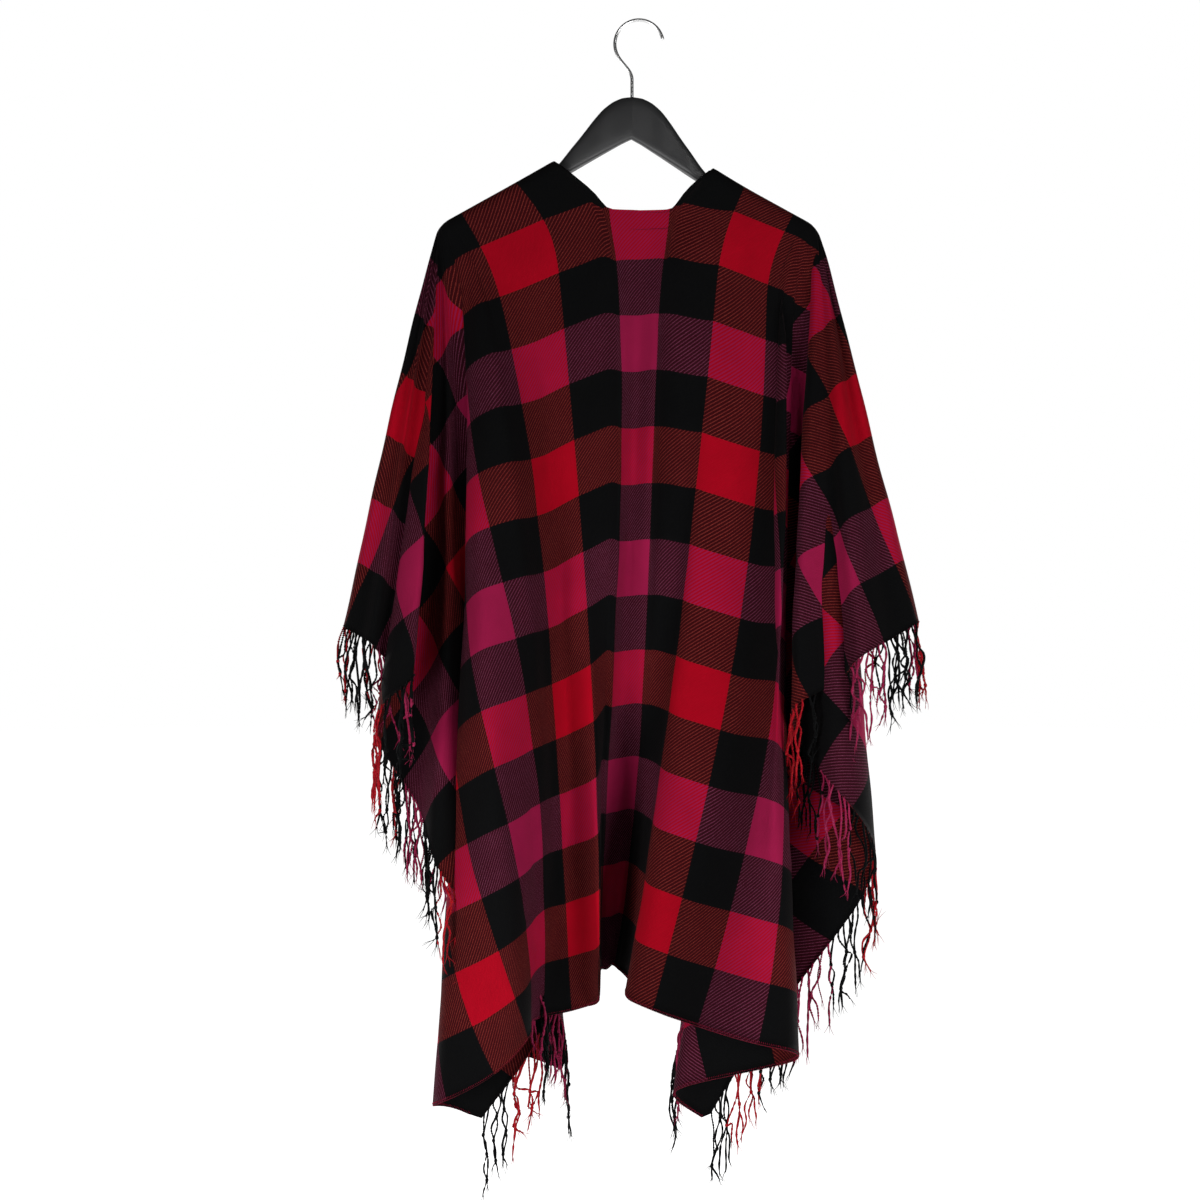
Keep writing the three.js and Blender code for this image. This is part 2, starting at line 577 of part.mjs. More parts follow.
const body = BODY[0][1];
const hole = new THREE.CylinderGeometry(STEM_HOLE, STEM_HOLE, STEM_DEPTH + 10, 20).rotateX(Math.PI / 2);
hole.translate(0, 0, body - STEM_DEPTH - 1 + (STEM_DEPTH + 10) / 2);
const hanger = shell(solid(hangerBody()).subtract(solid(hole)));
const hook = bare(
  new THREE.ExtrudeGeometry(circle(WIRE, 10), {
    extrudePath: new HookPath(body - STEM_DEPTH),
    steps: 56,
    bevelEnabled: false,
  }),
);

const BLACK = new THREE.MeshStandardMaterial({ color: 0x111212, roughness: 0.45, metalness: 0 });
const CHROME = new THREE.MeshStandardMaterial({ color: 0xc9c9cc, roughness: 0.15, metalness: 1 });
const CLOTH = new THREE.MeshStandardMaterial({ color: 0x7a0a1e, roughness: 0.95, metalness: 0, side: THREE.DoubleSide });
const YARN = new THREE.MeshStandardMaterial({ color: 0x4a0c22, roughness: 0.95, metalness: 0 });

const wrap = new THREE.Group();
const add = (name, geometry, material) => {
  const mesh = new THREE.Mesh(geometry, material);
  mesh.name = name;
  wrap.add(mesh);
};
add("hanger_body", hanger, BLACK);
add("hanger_hook", hook, CHROME);
const back = half(BACK, -1, SHOULDER, 40);
const left = half(FRONT_LEFT, 1, frontShoulder(-1), 44);
const right = half(FRONT_RIGHT, 1, frontShoulder(1), 44);
add("cloth_back", back.geometry, CLOTH);
add("cloth_front_left", left.geometry, CLOTH);
add("cloth_front_right", right.geometry, CLOTH);
for (const [name, part, side, front] of [
  ["fringe_back_left", back, "L", -1],
  ["fringe_back_right", back, "R", -1],
  ["fringe_front_left", left, "L", 1],
  ["fringe_front_right", right, "R", 1],
])
  fringe(part, side, front).forEach((g, i, all) => add(name + (all.length > 1 ? "_" + (i + 1) : ""), g, YARN));

// The rail bears on the hook's crown, which is the origin.
wrap.position.set(-CROWN.x, 0, 0);
const root = new THREE.Group();
root.add(wrap);
export default root;
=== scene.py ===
import bpy
import math
import numpy as np
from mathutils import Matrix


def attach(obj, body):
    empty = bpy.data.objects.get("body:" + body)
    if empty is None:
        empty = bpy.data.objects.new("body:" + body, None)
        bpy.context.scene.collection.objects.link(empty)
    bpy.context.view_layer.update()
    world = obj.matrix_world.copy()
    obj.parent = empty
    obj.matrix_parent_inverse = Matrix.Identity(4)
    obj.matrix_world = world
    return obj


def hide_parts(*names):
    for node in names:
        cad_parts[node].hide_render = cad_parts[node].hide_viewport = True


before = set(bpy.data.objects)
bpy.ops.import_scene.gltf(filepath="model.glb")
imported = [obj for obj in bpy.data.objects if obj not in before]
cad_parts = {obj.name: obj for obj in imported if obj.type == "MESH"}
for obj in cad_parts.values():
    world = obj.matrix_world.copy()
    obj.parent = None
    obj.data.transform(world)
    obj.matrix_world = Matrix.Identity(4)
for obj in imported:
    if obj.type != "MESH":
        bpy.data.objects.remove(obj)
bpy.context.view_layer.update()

# ---- cloth cut, millimetres ----
CHECK_W = 74.0
CHECK_H = 67.0
HALF_W = 9.5 * CHECK_W
HALF_L = 14.5 * CHECK_H
SEAM = 0.3
NECK_HALF = 0.8 * CHECK_W
NECK_BACK = 0.92 * CHECK_H
NECK_FRONT = 3.6 * CHECK_H
FRINGE = 112.0
SHELL = 1.6  # thickness of the modelled cloth

# ---- drape ----
WRAP, LEAN_FROM, LEAN = 32.0, 20.0, 130.0
ARM_SLOPE, ARM_SWEEP = 29.0, 0.064
FAN_UNIT = 700.0
LEVELS = (0.13, 0.5, 1.0)
FAN_FOOT = {"L": 11.0, "R": 8.0}
NECK_FALL = 60.0
NECK_FALL_Z = {-1: -168.6, 1: -177.0}
CROWN_X = 8.4  # the hook's crown is the origin; the hanger's stem is this far to its left

# column, x, z, fold, lean
SHOULDER = [
    (-2.7, -218.4, -235.8, -0.4, 29),
    (-1.5, -140.4, -193.8, -0.55, 40),
    (-0.8, -94.8, -168.6, -0.72, 48),
    (-0.7, -68.4, -175.8, -0.6, 36),
    (-0.5, -27.6, -180.6, -0.33, 0),
    (0.0, 9.0, -181.8, -0.3, 0),
    (0.5, 45.6, -180.6, -0.3, 0),
    (0.74, 79.2, -179.4, -0.45, 30),
    (0.8, 98.4, -177.0, -0.55, 45),
    (1.5, 134.4, -198.6, -0.2, 20),
    (2.75, 208.8, -238.2, -0.05, 29),
]

# Parts of the back that lie tucked behind a fold: column, row, half width, half height, shift in millimetres
TUCKS = [
    (-9.7, 11.9, 1.35, 1.7, 40.0),
]

# Folds from the left wing to the right wing: part, place, tilt to the right at yoke, middle and edge, tilt away
# from the shoulders at yoke, middle and edge.
BACK = [
    ("L",    11, -12.3, -12.3, -12.3,   0.0,   0.0,   0.0),
    ("L",    14, -11.9, -12.0, -12.1,  23.5,   6.8,   5.6),
    ("L",    17,  -9.2,  -9.5, -10.2,  21.4,   9.4,   8.1),
    ("L",    20,  -7.0,  -7.6,  -8.3,  22.4,  11.4,  10.6),
    ("L",    23,  -6.7,  -5.6,  -5.3,  18.7,   9.2,   9.3),
    ("L",    27,  -1.7,  -1.7,  -3.3,  19.4,  11.7,  11.9),
    ("L",    33,  -3.1,  -5.3,  -7.4,  15.5,  11.6,  11.8),
    ("L",    40,  -3.5,  -5.7,  -5.3,  11.4,   3.0,   3.5),
    ("L",    46,   1.9,  -2.1,  -2.6,   8.2,   2.6,   4.2),
    ("L",    50,   3.3,   0.0,  -2.1,   8.0,   6.3,   4.7),
    ("L",    54,   4.1,   3.9,   4.3,   5.3,   2.5,   0.2),
    ("L",    59,   7.7,   7.5,   5.9,   4.7,   0.8,  -0.7),
    ("L",    64,  12.8,   0.5, -10.8,   4.1,  -2.8,  -8.8),
    ("L",    69,   7.4,  -3.7,  -1.3,   2.4,   2.3,   0.5),
    ("L",    74,   3.0,  -0.3,   9.5,   7.0,   7.0, -13.9),
    ("L",    78,   1.8,   3.8,   8.8,   9.4,   9.8, -30.7),
    ("L",    84,   6.1,   6.6,  -5.0,  19.4,  -1.1, -13.8),
    ("C",  -2.7,  15.3,   4.7,   3.5,  16.2,  -5.5,  -2.9),
    ("C",  -2.1,   9.4,   4.6,   4.4,   3.9,  -2.6,  -5.6),
    ("C",  -1.5,   5.6,   4.0,  -0.7,   0.8,   1.8,  -7.5),
    ("C",    -1,   7.1,  -0.7,   1.3,   3.9,  -3.6,  -4.6),
    ("C",  -0.5,   3.6,  -2.6,  -0.5,   8.6,  -7.2, -13.7),
    ("C",     0,  -0.8,  -2.6,  -3.6,   3.1,  -8.4,  -5.6),
    ("C",   0.5,  -4.6,  -1.8, -10.1,  11.5, -10.2,  -5.9),
    ("C",     1,  -3.8,  -2.6,  -8.2,  -1.2,  -3.3,  -2.5),
    ("C",  1.55,  -5.0,  -7.3,  -9.1,   0.4,   0.6,  -2.3),
    ("C",   2.1,  -1.0,  -9.4, -14.4,  -0.3,   4.1,   1.9),
    ("C",  2.75,  -0.2,  -7.9, -17.1,   5.3,   4.2,   8.1),
    ("R",    85,   2.2,  -4.5, -13.4,  11.0,   8.2,   9.2),
    ("R",    80,  -4.8,   0.3,  -0.6,   7.2,   9.7,  10.1),
    ("R",    74,  -1.7,  -2.0,  -0.8,   3.2,   3.7,   5.7),
    ("R",    68,  -8.3,  -8.9,  -7.9,   2.6,   3.2,   5.2),
    ("R",    62,  -3.3,  -6.2,  -7.5,   2.6,  -0.7,   0.8),
    ("R",    56,   0.3,  -0.8,  -0.5,   5.7,   3.7,   3.4),
    ("R",    50,   5.6,   4.8,   3.6,   7.6,   4.3,   4.6),
    ("R",    44,  -0.1,   1.5,   1.6,   9.5,   9.9,  10.4),
    ("R",    38,  -5.0,  -2.4,   0.2,   9.6,   4.3,   6.5),
    ("R",    33,  -3.0,  -4.2,  -1.9,  14.9,   8.7,  10.8),
    ("R",    28,   1.7,   1.8,   1.6,  16.0,   7.0,   7.4),
    ("R",    24,   4.0,   3.4,   4.1,  18.2,  10.6,  11.4),
    ("R",    20,   6.8,   6.7,   7.0,  20.1,   9.4,   9.3),
    ("R",    16,   9.1,   9.7,  10.3,  17.4,   7.0,   7.3),
    ("R",    12,  12.2,  13.2,  13.6,  20.7,   3.7,   4.2),
    ("R",     8,  14.0,  14.0,  14.0,   0.0,   0.0,   0.0),
]
FRONT_LEFT = [
    ("L",    11, -12.3, -12.3, -12.3,   0.0,   0.0,   0.0),
    ("L",    14, -12.5, -11.7, -11.8,  19.4,   4.5,   5.2),
    ("L",    18, -10.0, -10.4, -10.5,  19.7,  10.5,   8.7),
    ("L",    22,  -8.1,  -8.6,  -8.2,  21.6,  15.0,  12.8),
    ("L",    27,  -3.7,  -4.2,  -4.4,  22.3,  18.5,  16.5),
    ("L",    33,  -0.7,  -1.1,  -1.3,  17.0,  14.0,  12.7),
    ("L",    38,  -5.5,  -5.5,  -4.2,  14.4,  10.7,   9.2),
    ("L",    44,  -4.7,  -4.7,  -4.5,   9.3,   4.9,   4.2),
    ("L",    50,   0.9,   1.1,   0.1,   7.8,   3.4,   2.5),
    ("L",    55,   4.3,   5.0,   4.2,   4.5,  -0.7,   0.1),
    ("L",    61,   9.3,   8.0,   7.1,   4.5,   3.2,   3.4),
    ("L",    67,   3.0,   1.8,   2.2,   6.0,   4.2,   4.6),
    ("L",    73,   2.6,   0.3,   0.5,  12.0,   9.6,   8.6),
    ("L",    79,   6.8,   5.8,   4.5,  13.7,  12.0,   9.5),
    ("L",    85,  10.2,  10.1,   8.2,   9.8,   8.0,   8.5),
    ("C",  -2.7,   8.0,   7.6,   7.2,   3.9,   3.2,   4.9),
    ("C",  -2.2,   6.0,   7.0,   6.0,   4.1,   2.2,   6.4),
    ("C",  -1.6,   4.4,   4.4,   4.4,   6.2,   4.8,   6.9),
    ("C",    -1,   1.8,   0.1,   1.2,   9.7,   6.2,   6.3),
    ("C",  -0.5,   2.8,   0.2,   1.1,   2.9,   6.0,   6.2),
    ("C",     0,  -3.0,   1.4,   2.4,   1.8,   3.3,   5.5),
]
FRONT_RIGHT = [
    ("C",     0,   4.0,   0.7,  -2.3,   4.5,   3.4,   4.8),
    ("C",   0.5,  -2.2,   0.3,  -1.6,   2.1,   6.1,   6.0),
    ("C",     1,  -3.1,  -1.0,  -2.1,  11.5,   6.3,   7.2),
    ("C",   1.6,  -9.7,  -4.3,  -3.4,   7.5,   6.1,   7.6),
    ("C",   2.2,  -7.8,  -7.4,  -5.6,   2.5,   3.4,   7.4),
    ("C",  2.75,  -6.1,  -7.6,  -8.4,   4.1,   3.7,   5.0),
    ("R",    86,  -8.8,  -8.9,  -8.4,   8.8,   7.7,   8.6),
    ("R",    81,  -7.1,  -5.8,  -4.7,  13.3,  11.4,   9.2),
    ("R",    75,  -2.5,   0.1,  -0.2,  12.7,  10.2,   8.5),
    ("R",    69,  -2.4,  -1.5,  -2.0,   6.4,   4.8,   5.0),
    ("R",    63,  -9.8,  -7.9,  -7.4,   4.6,   5.1,   4.9),
    ("R",    57,  -7.0,  -7.4,  -6.5,   3.5,  -0.7,   0.8),
    ("R",    51,  -1.9,  -2.0,  -1.3,   6.4,   2.1,   1.7),
    ("R",    45,   3.3,   3.2,   2.8,   8.3,   5.1,   4.5),
    ("R",    39,   3.3,   3.2,   2.0,  13.7,  11.1,   9.7),
    ("R",    34,  -1.8,  -1.3,  -1.1,  15.7,  14.0,  13.0),
    ("R",    29,   0.1,   0.3,   1.0,  20.5,  18.5,  16.9),
    ("R",    24,   5.1,   5.5,   5.6,  20.9,  17.5,  15.8),
    ("R",    20,   8.6,   8.9,   8.6,  20.9,  14.5,  12.7),
    ("R",    16,  11.5,  12.0,  11.7,  19.5,  11.0,   9.0),
    ("R",    12,  14.1,  13.3,  13.4,  19.3,   5.2,   5.9),
    ("R",     8,  14.0,  14.0,  14.0,   0.0,   0.0,   0.0),
]


def smooth(x):
    x = np.clip(x, 0.0, 1.0)
    return x * x * (3 - 2 * x)


def read(table, column, x):
    return np.interp(x, [r[0] for r in table], [r[column] for r in table])


def read_soft(table, column, x):
    """As read, with the corners of the shoulder line rounded out on the arms."""
    away = np.abs(x)
    w = 0.34 * np.clip((away - 0.95) / 0.4, 0, 1) * np.clip((2.65 - away) / 0.4, 0, 1)
    return np.mean([read(table, column, x + w * q) for q in np.linspace(-1, 1, 9)], axis=0)


def spline(x, y, t):
    """Natural cubic spline of the rows of y over x, read at t."""
    x, y = np.asarray(x, float), np.asarray(y, float)
    n = len(x)
    A, r = np.eye(n), np.zeros_like(y)
    for i in range(1, n - 1):
        h0, h1 = x[i] - x[i - 1], x[i + 1] - x[i]
        A[i, i - 1], A[i, i], A[i, i + 1] = h0, 2 * (h0 + h1), h1
        r[i] = 6 * ((y[i + 1] - y[i]) / h1 - (y[i] - y[i - 1]) / h0)
    m = np.linalg.solve(A, r)
    i = np.clip(np.searchsorted(x, t) - 1, 0, n - 2)
    h = (x[i + 1] - x[i])[:, None]
    a, b = (x[i + 1] - t)[:, None] / h, (t - x[i])[:, None] / h
    return a * y[i] + b * y[i + 1] + ((a**3 - a) * m[i] + (b**3 - b) * m[i + 1]) * h * h / 6


TIP = {"L": SHOULDER[0], "R": SHOULDER[-1]}
LO, HI = TIP["L"][0] * CHECK_W, TIP["R"][0] * CHECK_W


def place(part, at):
    if part == "C":
        return at * CHECK_W
    out = math.radians(90 - at) * FAN_UNIT
    return HI + out if part == "R" else LO - out


class Thread:
    """The lines of thread that start at shoulder places s."""

    def __init__(self, s, shoulder, front):
        s = np.asarray(s, float)
        self.s = s
        column = np.clip(s, LO, HI) / CHECK_W
        self.column = column
        x, z = read_soft(shoulder, 1, column), read_soft(shoulder, 2, column)
        self.u, self.v = column * CHECK_W, read(shoulder, 3, column) * CHECK_H
        self.sign = np.where(s < 0, -1.0, 1.0)
        past = np.where(s > HI, s - HI, np.where(s < LO, LO - s, 0.0))
        self.phi = 90 - np.degrees(past / FAN_UNIT)
        fan = past > 0
        self.du = np.where(fan, self.sign * np.cos(np.radians(self.phi)), 0.0)
        self.dv = np.where(fan, np.sin(np.radians(self.phi)), 1.0)
        with np.errstate(divide="ignore"):
            side = np.where(np.abs(self.du) < 1e-6, np.inf, (HALF_W - np.abs(self.u)) / np.maximum(np.abs(self.du), 1e-9))
        hem = (HALF_L + front * self.v) / self.dv
        self.length = np.minimum(side, hem)
        self.to_side = side < hem
        self.lean = np.radians(read_soft(shoulder, 4, column))
        foot = np.where(self.sign > 0, FAN_FOOT["R"], FAN_FOOT["L"])
        self.square = np.radians((self.phi - foot) / (90 - foot) * 90)
        self.start = np.stack([x, ARM_SWEEP * np.abs(x), z], -1)


class Drape:
    """One half of the draped cloth: front is 1 for the fronts (+Y) and -1 for the back."""

    FINE = 96

    def __init__(self, table, front, shoulder):
        self.front, self.shoulder = front, shoulder
        self.at = np.array([place(r[0], r[1]) for r in table])
        self.tilt = np.array([r[2:8] for r in table], float)

    def paths(self, s):
        th = Thread(s, self.shoulder, self.front)
        k = np.radians(spline(self.at, self.tilt, th.s))
        fine = (np.arange(self.FINE + 1) / self.FINE) ** 1.6
        mid = (fine[1:] + fine[:-1]) / 2

        def heading(t):
            a, b, c = LEVELS
            w = np.stack(
                [
                    (t - b) * (t - c) / ((a - b) * (a - c)),
                    (t - a) * (t - c) / ((b - a) * (b - c)),
                    (t - a) * (t - b) / ((c - a) * (c - b)),
                ]
            )
            w = np.where(t < a, np.array([[1.0], [0.0], [0.0]]), w)
            out, away = k[:, :3] @ w, k[:, 3:] @ w
            hang = np.stack([np.sin(out) * np.cos(away), self.front * np.sin(away), -np.cos(out) * np.cos(away)], -1)
            c_, n_ = math.cos(math.radians(ARM_SLOPE)), math.sin(math.radians(ARM_SLOPE))
            arm = np.stack([th.sign * c_, 0 * th.sign, 0 * th.sign - n_], -1)
            first = np.cos(th.square)[:, None] * arm + np.sin(th.square)[:, None] * np.array([0.0, self.front, 0.0])
            square = np.stack([-th.sign * np.sin(th.lean), 0 * th.sign, -np.cos(th.lean)], -1)
            g = smooth((th.phi - 55) / 35)[:, None, None]
            ell = t[None, :] * th.length[:, None]
            w1, w2 = smooth(ell / WRAP)[..., None], smooth((ell - LEAN_FROM) / LEAN)[..., None]
            over = hang * (1 - g) + square[:, None] * g
            d = first[:, None] * (1 - w1) + over * w1
            d = d * (1 - w2) + hang * w2
            return d / np.linalg.norm(d, axis=-1, keepdims=True)

        steps = heading(mid) * (fine[1:] - fine[:-1])[None, :, None] * th.length[:, None, None]
        path = np.concatenate([th.start[:, None], th.start[:, None] + np.cumsum(steps, axis=1)], axis=1)
        return th, fine, path, heading(np.array([1.0]))[:, 0]

    def points(self, s, t):
        """Points at shares t (one row per thread) of the threads at s, and their places in the flat cloth."""
        th, fine, path, last = self.paths(s)
        t = np.broadcast_to(t, (len(th.s), np.shape(t)[-1]))
        tc = np.clip(t, 0, 1)
        i = np.clip(np.searchsorted(fine, tc.ravel()).reshape(tc.shape) - 1, 0, self.FINE - 1)
        f = ((tc - fine[i]) / (fine[i + 1] - fine[i]))[..., None]
        r = np.arange(len(th.s))[:, None]
        P = path[r, i] * (1 - f) + path[r, i + 1] * f
        P = P + last[:, None] * (np.maximum(t - 1, 0) * th.length[:, None])[..., None]
        P[..., 1] += self.front * SEAM / 2
        ell = t * th.length[:, None]
        u = th.u[:, None] + th.du[:, None] * ell
        v = th.v[:, None] - self.front * th.dv[:, None] * ell if self.front > 0 else th.v[:, None] + th.dv[:, None] * ell
        if self.front < 0:
            for column, row, wide, high, shift in TUCKS:
                P[..., 1] += shift * np.exp(-(((u / CHECK_W - column) / wide) ** 2) - ((v / CHECK_H - row) / high) ** 2)
        return P, np.stack([u / CHECK_W, v / CHECK_H], -1), th


def neck_share(s, front):
    th = Thread(s, SHOULDER, front)
    k = np.clip(np.abs(th.s) / NECK_HALF, 0, 1)
    down = NECK_FRONT * (1 - k) ** 0.75 if front > 0 else NECK_BACK * np.sqrt(1 - k**8)
    return np.where(np.abs(th.s) < NECK_HALF - 1e-6, down / th.length, 0.0)


# ---- meshes ----
def to_object(name, verts_mm, faces, smooth_shading=True, layers=()):
    """A mesh object from points in mm about the hanger's stem; layers are (name, per-vertex UV)."""
    v = (np.asarray(verts_mm, float) - np.array([CROWN_X, 0, 0])) / 1000
    faces = np.asarray(faces, dtype=np.int32)
    me = bpy.data.meshes.new(name)
    me.vertices.add(len(v))
    me.vertices.foreach_set("co", v.astype(np.float32).ravel())
    me.loops.add(faces.size)
    me.loops.foreach_set("vertex_index", faces.ravel())
    me.polygons.add(len(faces))
    k = faces.shape[1]
    me.polygons.foreach_set("loop_start", np.arange(len(faces), dtype=np.int32) * k)
    me.polygons.foreach_set("loop_total", np.full(len(faces), k, dtype=np.int32))
    for layer, uv in layers:
        data = me.uv_layers.new(name=layer).data
        data.foreach_set("uv", np.asarray(uv, np.float32)[faces.ravel()].ravel())
    me.update(calc_edges=True)
    me.validate()
    me.polygons.foreach_set("use_smooth", np.full(len(me.polygons), smooth_shading))
    ob = bpy.data.objects.new(name, me)
    bpy.context.scene.collection.objects.link(ob)
    return ob


def net_normals(P):
    """Normals of a net whose rows are threads."""
    across = np.empty_like(P)
    across[1:-1] = P[2:] - P[:-2]
    across[0], across[-1] = P[1] - P[0], P[-1] - P[-2]
    down = np.empty_like(P)
    down[:, 1:-1] = P[:, 2:] - P[:, :-2]
    down[:, 0], down[:, -1] = P[:, 1] - P[:, 0], P[:, -1] - P[:, -2]
    n = np.cross(across, down)
    length = np.linalg.norm(n, axis=-1, keepdims=True)
    return n / np.maximum(length, 1e-9), length[..., 0] > 1e-6


def shell_from_net(name, P, N, cut, tips, thickness):
    """A closed thin shell on a net; tips are (first row, last row, kept row) whose first points are one point."""
    n, m = P.shape[:2]
    own = np.arange(n * m).reshape(n, m)
    for a, b, keep in tips:
        own[a:b, 0] = own[keep, 0]
    A = own[:-1, :-1].ravel(), own[1:, :-1].ravel(), own[1:, 1:].ravel(), own[:-1, 1:].ravel()
    quads = np.stack(A, -1)
    top = P + N * thickness / 2
    low = P - N * thickness / 2
    off = n * m
    verts = np.concatenate([top.reshape(-1, 3), low.reshape(-1, 3)])
    rim = []
    for line, flip in ((own[:, 0], 1), (own[:, -1], 0), (own[0], 0), (own[-1], 1)):
        a, b = line[:-1], line[1:]
        r = np.stack([a, b, b + off, a + off], -1)
        rim.append(r[:, ::-1] if flip else r)
    faces = np.concatenate([quads[:, ::-1], quads + off, *rim])
    # triangles where a quad has two corners in one point
    uv = np.concatenate([cut.reshape(-1, 2)] * 2)
    tri, quad = [], []
    same = (faces[:, 0] == faces[:, 3]) | (faces[:, 0] == faces[:, 1]) | (faces[:, 1] == faces[:, 2]) | (faces[:, 2] == faces[:, 3])
    quad = faces[~same]
    odd = faces[same]
    keep = []
    for f in odd:
        g = list(dict.fromkeys(int(x) for x in f))
        if len(g) == 3:
            keep.append(g)
    used = np.unique(np.concatenate([quad.ravel(), np.array(keep, int).ravel()]))
    new = np.full(len(verts), -1)
    new[used] = np.arange(len(used))
    quad = new[quad]
    tri = new[np.array(keep, int)] if keep else np.zeros((0, 3), int)
    tris = np.concatenate([quad[:, [0, 1, 2]], quad[:, [0, 2, 3]], tri])
    return to_object(name, verts[used], tris, layers=(("cut", uv[used]),))


def places(drape, step):
    """Shoulder places at even steps, closer in the fans, with the neck points and arm tips among them."""
    lo, hi = drape.at[0], drape.at[-1]
    s = list(np.linspace(lo, hi, int(round((hi - lo) / step)) + 1))
    extra = [x for q in (0.12, 0.25, 0.4, 0.55, 0.68, 0.78, 0.85, 0.9, 0.94, 0.97, 0.99, 1) for x in (q * NECK_HALF, -q * NECK_HALF)]
    extra += [LO, HI, 0.0]
    extra = [e for e in extra if lo - 1e-6 <= e <= hi + 1e-6]
    s = [q for q in s if all(abs(q - e) > step * 0.35 for e in extra) or q in (lo, hi)]
    return np.array(sorted(set(s + extra)))


def ease(P, cut, s, ell):
    """Rounds the creases that run down from the arm tips and neck points."""
    flat = cut * np.array([CHECK_W, CHECK_H])
    near = np.min([np.abs(s - q) for q in (LO, HI, -0.8 * CHECK_W, -0.7 * CHECK_W, 0.74 * CHECK_W, 0.8 * CHECK_W)], axis=0)
    hold = (1 - smooth((near - 24) / 24))[1:-1, None] * smooth((ell - 60) / 150)[1:-1]
    for _ in range(14):
        d0 = np.linalg.norm(flat[1:-1] - flat[:-2], axis=-1)
        d1 = np.linalg.norm(flat[2:] - flat[1:-1], axis=-1)
        w = (d1 / np.maximum(d0 + d1, 1e-6))[..., None]
        mean = P[:-2] * w + P[2:] * (1 - w)
        P[1:-1] += (mean - P[1:-1]) * (0.6 * hold)[..., None]
        mean = cut[:-2] * w + cut[2:] * (1 - w)
        cut[1:-1] += (mean - cut[1:-1]) * (0.6 * hold)[..., None]


def cloth(name, drape, step, rows, relief):
    s = places(drape, step)
    q = np.arange(rows + 1) / rows
    down = 0.35 * q**2.2 + 0.65 * q**1.15
    t0 = neck_share(s, drape.front)[:, None]
    t = t0 + (1 - t0) * down[None, :]
    P, cut, th = drape.points(s, t)
    ease(P, cut, s, t * th.length[:, None])
    N, ok = net_normals(P)
    tips = []
    left, right = s < LO - 1e-6, s > HI + 1e-6
    if left.any():
        tips.append((0, int(left.sum()), int(left.sum())))
    if right.any():
        tips.append((len(s) - int(right.sum()), len(s), len(s) - int(right.sum()) - 1))
    for a, b, keep in tips:
        P[a:b, 0] = P[keep, 0]
        N[a:b, 0] = N[keep, 0]
    h = relief(cut[..., 0] * CHECK_W, cut[..., 1] * CHECK_H, t * th.length[:, None])
    P = P + N * (drape.front * h)[..., None]
    N2, ok = net_normals(P)
    N = np.where(ok[..., None], N2, N)
    for a, b, keep in tips:
        N[a:b, 0] = N[keep, 0]
    ob = shell_from_net(name, P, N, cut, tips, SHELL)
    return ob, dict(s=s, P=P, N=N, cut=cut, th=th, t=t, drape=drape)


def tubes(name, lines, radii, sides, twist=0.0, lobes=0.0, uvs=None):
    """Closed tubes along the given lines (k points each), as one mesh."""
    verts, faces, uv = [], [], []
    base = 0
    ang = np.arange(sides) / sides * 2 * np.pi
    for i, (L, r) in enumerate(zip(lines, radii)):
        L = np.asarray(L, float)
        k = len(L)
        T = np.gradient(L, axis=0)
        T /= np.maximum(np.linalg.norm(T, axis=1, keepdims=True), 1e-9)
        ref = np.array([0.0, 1.0, 0.0]) if abs(T[0][1]) < 0.8 else np.array([1.0, 0.0, 0.0])
        X = np.empty_like(L)
        x = np.cross(ref, T[0])
        for j in range(k):
            x = x - T[j] * np.dot(x, T[j])
            x /= max(np.linalg.norm(x), 1e-9)
            X[j] = x
        Y = np.cross(T, X)
        run = np.concatenate([[0], np.cumsum(np.linalg.norm(np.diff(L, axis=0), axis=1))])
        a = ang[None, :] + (run * twist)[:, None]
        rr = np.broadcast_to(np.asarray(r, float), (k,))[:, None] * (1 + lobes * np.cos(2 * ang))[None, :]
        ring = L[:, None] + X[:, None] * (np.cos(a) * rr)[..., None] + Y[:, None] * (np.sin(a) * rr)[..., None]
        verts.append(ring.reshape(-1, 3))
        verts.append(L[[0, -1]])
        idx = base + np.arange(k * sides).reshape(k, sides)
        nxt = np.roll(idx, -1, axis=1)
        q = np.stack([idx[:-1], nxt[:-1], nxt[1:], idx[1:]], -1).reshape(-1, 4)
        faces.append(q[:, [0, 1, 2]])
        faces.append(q[:, [0, 2, 3]])
        c0, c1 = base + k * sides, base + k * sides + 1
        faces.append(np.stack([nxt[0], idx[0], np.full(sides, c0)], -1))
        faces.append(np.stack([idx[-1], nxt[-1], np.full(sides, c1)], -1))
        if uvs is not None:
            w = uvs[i]
            along = np.repeat(run, sides)
            uv.append(np.stack([along, np.full(k * sides, w)], -1))
            uv.append(np.array([[0, w], [run[-1], w]]))
        base += k * sides + 2
    layers = (("cut", np.concatenate(uv)),) if uvs is not None else ()
    return to_object(name, np.concatenate(verts), np.concatenate(faces), layers=layers)


